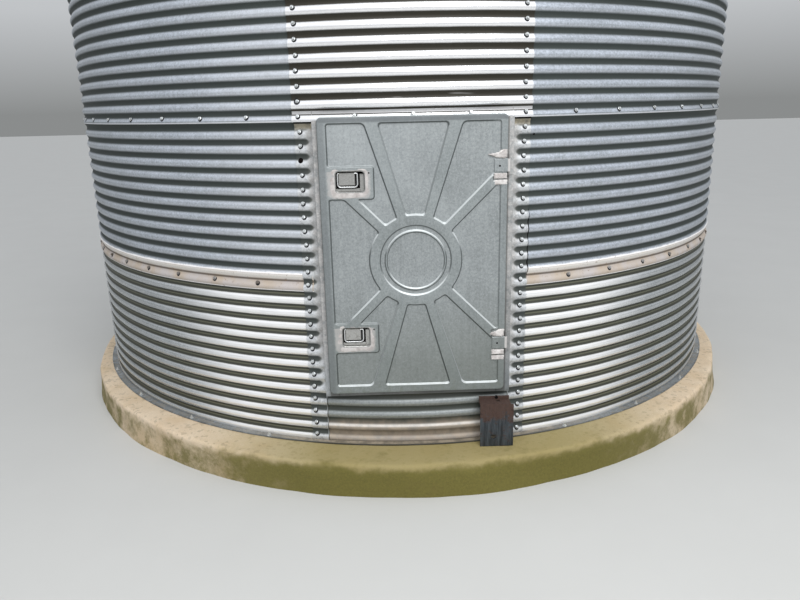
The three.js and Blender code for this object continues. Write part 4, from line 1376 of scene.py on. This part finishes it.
def make_latch(place):
    """A tray let into the door, its block, and the bent pull that hangs from the block."""
    up = LATCH_UPS[place]
    front = DOOR_OUT - 0.0008
    floor = front - 0.0395
    tray = loft([door_loop(latch_cut(up, inset), out) for inset, out in
                 ((0.0003, floor - 0.0025), (0.0003, front - 0.001), (0.0013, front),
                  (0.0030, front - 0.0015), (0.0034, floor))])
    left, right = LATCH_X + BLOCK_X[0], LATCH_X + BLOCK_X[1]
    block = box_at(left, right, up + BLOCK_UP[0], up + BLOCK_UP[1], floor, RING_OUT - 0.002, 0.003)
    x0, x1, up0, up1 = latch_box(up, 0.0040)
    step = LATCH_X + FLOOR_X
    raised = [box_at(x0, step, up0, up + FLOOR_UP, floor, 0.008, 0.0015),
              box_at(step, x1, up0, up1 - 0.011, floor, 0.008, 0.0015)]
    node = f"{place}_latch_tray"
    mesh_piece(f"door_{node}", merged([tray, block, *raised]), hardware, [node], 35, "door")
    # A near-black sleeve inside the tray: painted shade in its depths
    gap = loft([door_loop(latch_cut(up, 0.0036), out) for out in (floor, -0.006)])
    mesh_piece(f"door_{place}_latch_depth", gap, dark_gap, body="door")
    pivot = up + RING_RISE
    sides = (RING_X - RING_HALF_W, RING_X + RING_HALF_W, pivot - RING_DROP, pivot)
    lower, upper = rounded_rect(*sides, 0.015), rounded_rect(*sides, 0.005)
    n = len(lower) // 4
    path = [(right - 0.004, pivot), *upper[n:2 * n][::-1], *lower[:n][::-1], *lower[3 * n:][::-1],
            *upper[2 * n:3 * n][::-1], (left + 0.004, pivot)]
    node = f"{place}_latch_ring"
    pull = tube(door_loop(path, RING_OUT), sizes().pull_rod)
    mesh_piece(f"pull_{node}", pull, pull_zinc, [node], 60, f"{place}_pull")
    screw = screw_at(LATCH_X + 0.089, up + 0.040, DOOR_OUT, 0.0035)
    mesh_piece(f"door_{place}_latch_screw", screw, dark_gap, body="door")
    make_latch_sealant(place, up)


def screw_at(x, up, out, r):
    """A round screw head."""
    return loft([door_loop(circle(x, up, r * share, 14), out + high) for share, high in
                 ((1.0, -0.001), (1.0, 0.0008), (0.75, 0.0017), (0.3, 0.0020))])


def make_latch_sealant(place, up):
    """Sealant smeared round the recess, thick at the left and below, thin above."""
    shake = random.Random(place)
    phases = [shake.uniform(0, 6.28) for _ in range(4)]
    section = ((0.0, 0.0), (0.08, 0.8), (0.6, 0.6), (0.88, 0.3), (1.0, -0.3))
    left, right, bottom, top = LATCH_X - 0.104, LATCH_X + 0.102, up - 0.075, up + 0.061
    rows = []
    for x, z in densified(latch_cut(up, -0.0015), 0.006):
        nx, nz = (x - LATCH_X) / TRAY_HALF_W, (z - up) / TRAY_HALF_H
        a = math.atan2(nz, nx)
        wide = 0.014 + 0.012 * max(0, -math.cos(a)) + 0.010 * max(0, -math.sin(a))
        wide -= 0.013 * max(0, math.sin(a)) ** 2
        wide += 0.0035 * math.sin(3 * a + phases[0]) + 0.002 * math.sin(8 * a + phases[1])
        wide = max(wide + 0.001 * math.sin(19 * a + phases[2]), 0.0015)
        size = math.hypot(nx ** 3, nz ** 3)
        nx, nz = nx ** 3 / size, nz ** 3 / size
        thick = sizes().sealant * (1.0 + 0.36 * math.sin(11 * a + phases[3]))
        row = []
        for share, high in section:
            far_x = min(max(x + nx * wide * share, left), right)
            far_z = min(max(z + nz * wide * share, bottom), top)
            row.append(at_door(far_x, far_z, DOOR_OUT - 0.0002 + thick * high))
        rows.append(row)
    count, last = len(rows), (len(section) - 1) * len(rows)
    points, faces = loft(list(zip(*rows)), capped=False)
    faces += [(j, i, last + i, last + j) for i, j in ((i, (i + 1) % count) for i in range(count))]
    shape = flipped((points, faces))
    mesh_piece(f"door_{place}_latch_sealant", shape, sealant, sharp=80, body="door")


def smear(name, outline, out, high, wobble=0.002):
    """A low mound of sealant on the door over an outline given in x and up."""
    shake = random.Random(name)
    outline = densified(outline, 0.006)
    cx, cz = (sum(p[i] for p in outline) / len(outline) for i in (0, 1))
    offset = [(shake.uniform(-1, 1) * wobble, shake.uniform(-1, 1) * wobble) for _ in outline]
    loops = []
    for share, level in ((1.0, -0.15), (0.97, 0.35), (0.88, 0.75), (0.6, 1.0), (0.25, 0.9)):
        loop = []
        for (x, z), (ox, oz) in zip(outline, offset):
            px, pz = cx + (x - cx) * share + ox * share, cz + (z - cz) * share + oz * share
            lumpy = 1 + 0.2 * math.sin(900 * px) * math.cos(700 * pz)
            loop.append(at_door(px, pz, out + high * level * lumpy))
        loops.append(loop)
    mesh_piece(name, loft(loops), sealant, sharp=80, body="door")


def rod_z(x, out, up0, up1, r, chamfer=0.0008):
    """An upright pin with eased ends."""
    loops = []
    for up, less in ((up0, chamfer), (up0 + chamfer, 0), (up1 - chamfer, 0), (up1, chamfer)):
        loops.append([at_door(x + dx, up, out - dy) for dx, dy in circle(0, 0, r - less, 20)])
    return loft(loops)


def make_hinge(place):
    up = HINGE_UPS[place]
    plate_from = DOOR_RIGHT - HINGE_POCKET[0] + 0.008
    out = DOOR_FIELD + 0.0004
    front = out + 0.004
    leaf = box_at(plate_from, PIN_X - 0.004, up - 0.030, up + 0.030, out, front)
    knuckle = rod_z(PIN_X, PIN_OUT, up - 0.030, up + 0.030, 0.0068)
    node = f"{place}_hinge_leaf"
    mesh_piece(f"door_{node}", merged([leaf, knuckle]), door_zinc, [node], 35, "door")
    screw = screw_at(plate_from + 0.026, up - 0.002, front, 0.0045)
    mesh_piece(f"door_{place}_hinge_screw", screw, dark_gap, body="door")
    foot = 0.0003
    parts = [box_at(PIN_X - 0.004, FRAME_HALF_W - 0.004, up - 0.0455, up + 0.0455, foot, 0.0028, 0.0006)]
    for middle in (up - 0.0385, up + 0.0385):
        low, high = middle - 0.007, middle + 0.007
        parts.append(box_at(PIN_X - 0.004, PIN_X + 0.004, low, high, foot, PIN_OUT, 0.0006))
        parts.append(rod_z(PIN_X, PIN_OUT, low, high, 0.0058))
    parts.append(rod_z(PIN_X, PIN_OUT, up - 0.050, up + 0.050, 0.0038))
    node = f"{place}_hinge_pin"
    mesh_piece(f"frame_{node}", merged(parts), frame_zinc, [node], 35)
    left, right = DOOR_RIGHT - 0.066, DOOR_RIGHT - 0.0015
    wedge = [(left - 0.028, up + 0.052), (left + 0.012, up + 0.036), (right - 0.012, up + 0.032),
             (right, up + 0.038), (right, up + 0.079), (right - 0.022, up + 0.077),
             (left + 0.020, up + 0.060)]
    name = f"door_{place}_hinge_sealant"
    smear(f"{name}_top", wedge, DOOR_OUT - 0.0075, 0.0092)
    left += 0.002
    for i, low, high, out, thick in ((1, -0.062, -0.036, DOOR_OUT - 0.0075, 0.0085),
                                     (2, -0.088, -0.066, DOOR_OUT - 0.001, 0.0022)):
        blob = [(left, up + low), (right, up + low), (right, up + high), (left, up + high)]
        smear(f"{name}_{i}", blob, out, thick, 0.0012)


# Foundation, bracket and roof

def revolved(profile, start, end, steps, closed=False):
    """A section (reach, height) turned about the upright axis, as a closed piece."""
    turns = [start + (end - start) * i / steps for i in range(steps if closed else steps + 1)]
    loops = [[(r * math.sin(a), -r * math.cos(a), z) for r, z in profile] for a in turns]
    return flipped(loft(loops, ring=closed))


def make_base_angle():
    low, high = FOOT - 0.0053, FOOT - 0.0003
    inner, reach, ease = RADIUS - 0.0187, RADIUS + 0.033, 0.001
    profile = [(inner, low), (reach - ease, low), (reach, low + ease), (reach, high - ease),
               (reach - ease, high), (inner, high)]
    for i in range(4):
        start = (i + 0.5) * math.pi / 2
        part = revolved(profile, start, start + math.pi / 2 - 0.0003, 60)
        node = f"base_angle_{i + 1}"
        mesh_piece(f"base_angle_part_{i + 1}", part, base_zinc, [node], 35)
    washer, nut, stud = (0.0115, 16, 0.0, 0.0022), (0.0085, 6, 0.0022, 0.0092), (0.0045, 12, 0.009, 0.018)
    points, faces = merged([loft([[(x, y, high + z) for x, y in circle(0, 0, r, sides)] for z in (z0, z1)])
                            for r, sides, z0, z1 in (washer, nut, stud)])
    bolt_circle = RADIUS + 0.019
    nuts = []
    for k in range(1, BOLTS, 2):
        angle = k * STEP
        if abs((angle + math.pi) % (2 * math.pi) - math.pi) < DOOR_SEAM:
            continue
        cx, cy = bolt_circle * math.sin(angle), -bolt_circle * math.cos(angle)
        nuts.append(([(x + cx, y + cy, z) for x, y, z in points], faces))
    mesh_piece("base_angle_anchor_nuts", merged(nuts), bolt_zinc, sharp=30)


def make_pad():
    half_x, half_y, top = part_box("concrete_pad")[1]
    section = [(0.0, 0.0), (0.0, 0.05), (0.0, 0.10), (0.0, top - 0.020), (0.003, top - 0.009),
               (0.010, top - 0.002)] + [(inset, top) for inset in (0.022, 0.06, 0.12, 0.3, 0.8, 1.6)]
    steps = 360
    shake = random.Random("pad")
    waves = [(n, shake.uniform(0, 6.28), 0.0045 / (1 + n / 14)) for n in (3, 5, 8, 13, 21, 34, 55, 89)]
    loops = []
    for inset, z in section:
        loop = []
        for i in range(steps):
            a = 2 * math.pi * i / steps
            rough = sum(size * math.sin(n * a + phase + 14 * z) for n, phase, size in waves)
            rough -= 0.006 if z > 0 else 0.0
            chip = max(0.0, math.sin(17 * a + 1) * math.sin(29 * a) - 0.55) * 0.03 * (0.002 < inset < 0.03)
            sink = -0.0025 * abs(math.sin(23 * a + 40 * inset)) * (0.003 < inset < 0.2) - chip * 0.4
            reach_x, reach_y = half_x - inset + rough - chip, half_y - inset + rough - chip
            loop.append((reach_x * math.cos(a), reach_y * math.sin(a), z + sink))
        loops.append(loop)
    mesh_piece("pad", loft(loops), concrete, ["concrete_pad"], 50)


def holed_plate(x0, x1, y0, y1, hole_x, hole_y, r, count=36):
    """Outer and hole outlines with like counts. The outer one passes through all four corners."""
    corners = [math.atan2(y - hole_y, x - hole_x) for x in (x0, x1) for y in (y0, y1)]
    turns = sorted([2 * math.pi * i / count - math.pi for i in range(count)] + corners)
    outer, hole = [], []
    for a in turns:
        c, s = math.cos(a), math.sin(a)
        to_side = (x1 - hole_x) / c if c > 0 else (x0 - hole_x) / min(c, -1e-9)
        to_end = (y1 - hole_y) / s if s > 0 else (y0 - hole_y) / min(s, -1e-9)
        reach = min(to_side, to_end)
        outer.append((hole_x + reach * c, hole_y + reach * s))
        hole.append((hole_x + r * c, hole_y + r * s))
    return outer, hole


def make_bracket():
    """A bent plate, rusted, bolted to the right jamb."""
    x0, x1, foot, shelf, reach, thick = 0.314, 0.484, -0.005, 0.228, 0.068, 0.008
    hole_r = 0.013
    outer, hole = holed_plate(x0, x1, foot, shelf - 0.004, 0.383, 0.048, hole_r)
    front = loft([door_loop(outer, reach - thick), door_loop(outer, reach), door_loop(hole, reach),
                  door_loop(hole, reach - thick)], ring=True)
    top_x1 = x1 - 0.014
    outer, hole = holed_plate(x0, top_x1, 0.0003, reach - 0.001, 0.410, 0.018, hole_r)
    top = loft([[at_door(x, z, out) for x, out in ring] for ring, z in
                ((outer, shelf), (outer, shelf - thick), (hole, shelf - thick), (hole, shelf))], ring=True)
    lip = box_at(x0, top_x1, shelf - thick, shelf + 0.019, 0.0004, thick, 0.0015)
    # A near-black plug in the lip's hole: painted shade
    spot = loft([door_loop(circle(0.404, shelf + 0.012, 0.009, 14), out) for out in (0.001, 0.0084)])
    mesh_piece("rusty_bracket_hole", spot, dark_gap, sharp=30)
    plate = merged([front, top, lip])
    piece = mesh_piece("rusty_bracket", plate, rusty_steel, ["sill_bracket"], 35)
    bevel = piece.modifiers.new("edge", "BEVEL")
    bevel.width = 0.0012
    bevel.segments = 2
    bevel.limit_method = "ANGLE"


ROOF_SIDES = 13
ROOF_SLOPE = math.radians(30)
EAVE_MID = RADIUS + 0.049
COLLAR_R = 0.400
RIB_W = 0.056
RIB_H = 0.038
SIDE = 2 * math.pi / ROOF_SIDES
RIM_DEPTH = 2 * WAVE_DEPTH * CREST_UP     # the wall's upper edge lies this far behind the crest line
EAVE_Z = FOOT + RINGS * RING_HEIGHT - (EAVE_MID - RADIUS + RIM_DEPTH) * math.tan(ROOF_SLOPE)


def roof_point(across, reach, high):
    """A point over a roof panel that faces -Y."""
    z = EAVE_Z + (EAVE_MID - reach) * math.tan(ROOF_SLOPE)
    return Vector((across, -(reach + high * math.sin(ROOF_SLOPE)), z + high * math.cos(ROOF_SLOPE)))


def make_roof_panel(i):
    """One folded panel: half a rib along each side, a turned-down eave and a slightly crowned pan."""
    rib, bend, pan_up = RIB_W / 2, 0.003, 0.004
    eave = {EAVE_MID + 0.001: 0.018, EAVE_MID: 0.002, EAVE_MID - 0.006: 0.0}     # rows, and their drop
    outer = []
    for reach in [*eave, *np.linspace(EAVE_MID - 0.05, COLLAR_R + 0.001, 22)]:
        half = reach * math.tan(SIDE / 2) - 0.0006
        pan = half - 1.5 * rib
        section = [(-half, RIB_H - 0.001), (-half + 0.002, RIB_H), (-half + rib - bend, RIB_H),
                   (-half + rib + bend * 0.5, RIB_H - bend), (-pan - bend * 0.5, pan_up + bend),
                   (-pan + bend, pan_up)]
        crown = [(s, pan_up + 0.0035 * math.sin(math.pi * (s + pan) / (2 * pan)))
                 for s in np.linspace(-pan + bend, pan - bend, 9)[1:-1]]
        line = []
        for s, h in section + crown + [(-s, h) for s, h in section[::-1]]:
            uneven = 0.0 if reach in eave else 0.0012 * math.sin(3.1 * reach + i) * math.sin(5 * s + 2 * i)
            line.append(tuple(roof_point(s, reach, h + uneven) - Vector((0, 0, eave.get(reach, 0.0)))))
        outer.append(line)
    outer = np.array(outer)
    inner = outer - np.array([0, -math.sin(ROOF_SLOPE), math.cos(ROOF_SLOPE)]) * 0.0016
    points, faces = thick_grid(outer, inner)
    turn = Matrix.Rotation(i * SIDE, 4, "Z")
    sheet = [turn @ Vector(p) for p in points], faces
    mesh_piece(f"roof_sheet_{i + 1}", sheet, roof_zinc, [f"roof_panel_{i + 1}"], 35)


def make_roof():
    for i in range(ROOF_SIDES):
        make_roof_panel(i)
    lean = Matrix.Rotation(-math.pi / 2 + ROOF_SLOPE, 4, "X")
    bolts = []
    for i in range(ROOF_SIDES):
        turn = Matrix.Rotation((i + 0.5) * SIDE, 4, "Z")
        for reach in np.linspace(EAVE_MID - 0.06, COLLAR_R + 0.12, 9):
            points, faces = bolt_shape(reach * 40, 0.9, washer_and_head())
            at = roof_point(0, reach, RIB_H)
            at.y = -reach / math.cos(SIDE / 2) - RIB_H * math.sin(ROOF_SLOPE)
            bolts.append(([turn @ (at + lean @ Vector((t, -n, z))) for t, z, n in points], faces))
    mesh_piece("roof_rib_bolts", merged(bolts), bolt_zinc, sharp=30)
    roof_top = EAVE_Z + (EAVE_MID - COLLAR_R) * math.tan(ROOF_SLOPE) + 0.004
    foot, top = roof_top - 0.030, roof_top + 0.130
    outer, inner = COLLAR_R, COLLAR_R - 0.0025
    profile = [(inner, foot), (outer, foot), (outer, roof_top + 0.05), (outer + 0.004, roof_top + 0.058),
               (outer, roof_top + 0.066), (outer, top - 0.004), (outer - 0.001, top), (inner - 0.004, top),
               (inner - 0.004, top - 0.003), (inner, top - 0.004)]
    collar = revolved(profile, 0, 2 * math.pi, 96, True)
    mesh_piece("roof_collar", collar, roof_zinc, ["filler_collar"], 35)
    low, r, skin = top + 0.0003, 0.440, 0.002
    profile = [(0.0005, low + 0.1245), (0.060, low + 0.117), (r - 0.012, low + 0.0065),
               (r - 0.003, low + 0.001), (r - skin, low - 0.006), (r - skin - 0.0005, low - 0.048),
               (r, low - 0.050), (r, low - 0.006), (r - 0.0012, low + 0.0035), (r - 0.010, low + 0.0095),
               (0.060, low + 0.120), (0.0005, low + 0.128)]
    lid = revolved(profile, 0, 2 * math.pi, 96, True)
    mesh_piece("roof_lid_sheet", lid, roof_zinc, ["roof_lid"], 35)


def make_frame_rails():
    """The rails over and under the doorway keep their CAD shape."""
    for node in ("door_head", "door_sill"):
        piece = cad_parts[node]
        piece.data.materials.clear()
        piece.data.materials.append(finish_of(frame_zinc))


# Stage

def make_floor():
    floor_mesh = bpy.data.meshes.new("floor")
    reach = 60.0
    corners = [(-reach, -reach, 0), (reach, -reach, 0), (reach, reach, 0), (-reach, reach, 0)]
    floor_mesh.from_pydata(corners, [], [(0, 1, 2, 3)])
    finish = Finish("floor_paper", 0.0, 0.9)
    finish.colour = finish.mix(finish.noise(1.5), "bdbdba", "c3c3c0")
    floor_mesh.materials.append(finish.done())
    floor = bpy.data.objects.new("floor", floor_mesh)
    bpy.context.scene.collection.objects.link(floor)


def make_light():
    """A pale sky that lights all round, and one large soft lamp in front."""
    scene = bpy.context.scene
    scene.world = bpy.data.worlds.new("soft_light")
    sky = Nodes(scene.world)
    height = sky.parts(sky.node("ShaderNodeTexCoord", {}, {}, "Generated"))[2]
    stops = [(0.0, (0.30, 0.31, 0.31, 1)), (0.12, (0.62, 0.64, 0.66, 1)), (0.55, (1.0, 1.03, 1.08, 1))]
    sky.link(sky.node("ShaderNodeValToRGB", {"stops": stops}, {0: height}), "Background", "Color")
    sky.tree.nodes["Background"].inputs["Strength"].default_value = 0.85

    light = bpy.data.lights.new("key", "AREA")
    light.energy = 420
    light.size = 4.0
    lamp = bpy.data.objects.new("key", light)
    lamp.location = (1.0, -7.0, 6.0)
    lamp.rotation_euler = (Vector((0, -2.2, 1.2)) - lamp.location).to_track_quat("-Z", "Y").to_euler()
    scene.collection.objects.link(lamp)


def make_camera():
    """The camera stands where the photograph was taken from."""
    scene = bpy.context.scene
    lens = bpy.data.cameras.new("camera")
    lens.sensor_width = SENSOR
    lens.lens = CAMERA_FOCAL
    lens.clip_start, lens.clip_end = 0.05, 200
    camera = bpy.data.objects.new("camera", lens)
    turn = Matrix.Rotation(-CAMERA_HEADING, 4, "Z") @ Matrix.Rotation(math.pi / 2 - CAMERA_PITCH, 4, "X")
    turn = turn @ Matrix.Rotation(-CAMERA_ROLL, 4, "Z")
    camera.matrix_world = Matrix.Translation(Vector(CAMERA_AT) + Vector((0, 0, FOOT))) @ turn
    scene.collection.objects.link(camera)
    scene.camera = camera
    scene.view_settings.view_transform = "Standard"


# Add-on

class SILO_OT_pad(bpy.types.Operator):
    """Make the concrete pad and the base angle on it"""

    bl_idname = "silo.make_pad"
    bl_label = "Pad and base angle"

    def execute(self, context):
        make_pad()
        make_base_angle()
        return {"FINISHED"}


class SILO_OT_wall(bpy.types.Operator):
    """Make the corrugated sheets of the wall, with those over and under the door"""

    bl_idname = "silo.make_wall"
    bl_label = "Wall sheets"

    def execute(self, context):
        make_wall()
        make_header()
        make_sill()
        return {"FINISHED"}


class SILO_OT_frame(bpy.types.Operator):
    """Make the door's frame"""

    bl_idname = "silo.make_frame"
    bl_label = "Door frame"

    def execute(self, context):
        make_frame_rails()
        make_jamb(-1)
        make_jamb(1)
        return {"FINISHED"}


class SILO_OT_bolts(bpy.types.Operator):
    """Make the bolts of the wall, with their seals and the holes of missing ones"""

    bl_idname = "silo.make_bolts"
    bl_label = "Wall bolts"

    def execute(self, context):
        make_joint_bolts()
        make_door_bolts()
        make_seam_bolts()
        make_open_holes()
        make_squeezed_seal()
        make_open_seam()
        return {"FINISHED"}


class SILO_OT_door(bpy.types.Operator):
    """Make the pressed door leaf"""

    bl_idname = "silo.make_door"
    bl_label = "Door leaf"

    def execute(self, context):
        make_door()
        return {"FINISHED"}


class SILO_OT_latches(bpy.types.Operator):
    """Make both latches with their pulls and the sealant round them"""

    bl_idname = "silo.make_latches"
    bl_label = "Latches"

    def execute(self, context):
        for place in LATCH_UPS:
            make_latch(place)
        return {"FINISHED"}


class SILO_OT_hinges(bpy.types.Operator):
    """Make both hinges with their pins and the sealant on them"""

    bl_idname = "silo.make_hinges"
    bl_label = "Hinges"

    def execute(self, context):
        for place in HINGE_UPS:
            make_hinge(place)
        return {"FINISHED"}


class SILO_OT_bracket(bpy.types.Operator):
    """Make the rusty bracket under the door"""

    bl_idname = "silo.make_bracket"
    bl_label = "Rusty bracket"

    def execute(self, context):
        make_bracket()
        return {"FINISHED"}


class SILO_OT_roof(bpy.types.Operator):
    """Make the roof panels, the collar and the lid"""

    bl_idname = "silo.make_roof"
    bl_label = "Roof"

    def execute(self, context):
        make_roof()
        return {"FINISHED"}


class SILO_OT_stage(bpy.types.Operator):
    """Make the floor, the light and the camera"""

    bl_idname = "silo.make_stage"
    bl_label = "Stage"

    def execute(self, context):
        make_floor()
        make_light()
        make_camera()
        return {"FINISHED"}


OPERATORS = (SILO_OT_pad, SILO_OT_wall, SILO_OT_frame, SILO_OT_bolts, SILO_OT_door, SILO_OT_latches,
             SILO_OT_hinges, SILO_OT_bracket, SILO_OT_roof, SILO_OT_stage)


class VIEW3D_PT_silo(bpy.types.Panel):
    """Lists the settings and the groups of pieces"""

    bl_idname = "VIEW3D_PT_silo"
    bl_label = "Grain Silo"
    bl_space_type = "VIEW_3D"
    bl_region_type = "UI"
    bl_category = "Silo"

    def draw(self, context):
        for settings in (sizes(), colours()):
            box = self.layout.box()
            for name in settings.__annotations__:
                box.prop(settings, name)
        for operator in OPERATORS:
            self.layout.operator(operator.bl_idname)


CLASSES = (SiloSizes, SiloColours, *OPERATORS, VIEW3D_PT_silo)


def register():
    for made in CLASSES:
        bpy.utils.register_class(made)
    bpy.types.Scene.silo_sizes = bpy.props.PointerProperty(type=SiloSizes)
    bpy.types.Scene.silo_colours = bpy.props.PointerProperty(type=SiloColours)


def unregister():
    del bpy.types.Scene.silo_colours
    del bpy.types.Scene.silo_sizes
    for made in reversed(CLASSES):
        bpy.utils.unregister_class(made)


def main():
    register()
    bpy.ops.silo.make_pad()
    bpy.ops.silo.make_wall()
    bpy.ops.silo.make_frame()
    bpy.ops.silo.make_bolts()
    bpy.ops.silo.make_door()
    bpy.ops.silo.make_latches()
    bpy.ops.silo.make_hinges()
    bpy.ops.silo.make_bracket()
    bpy.ops.silo.make_roof()
    bpy.ops.silo.make_stage()


if __name__ == "__main__":
    main()
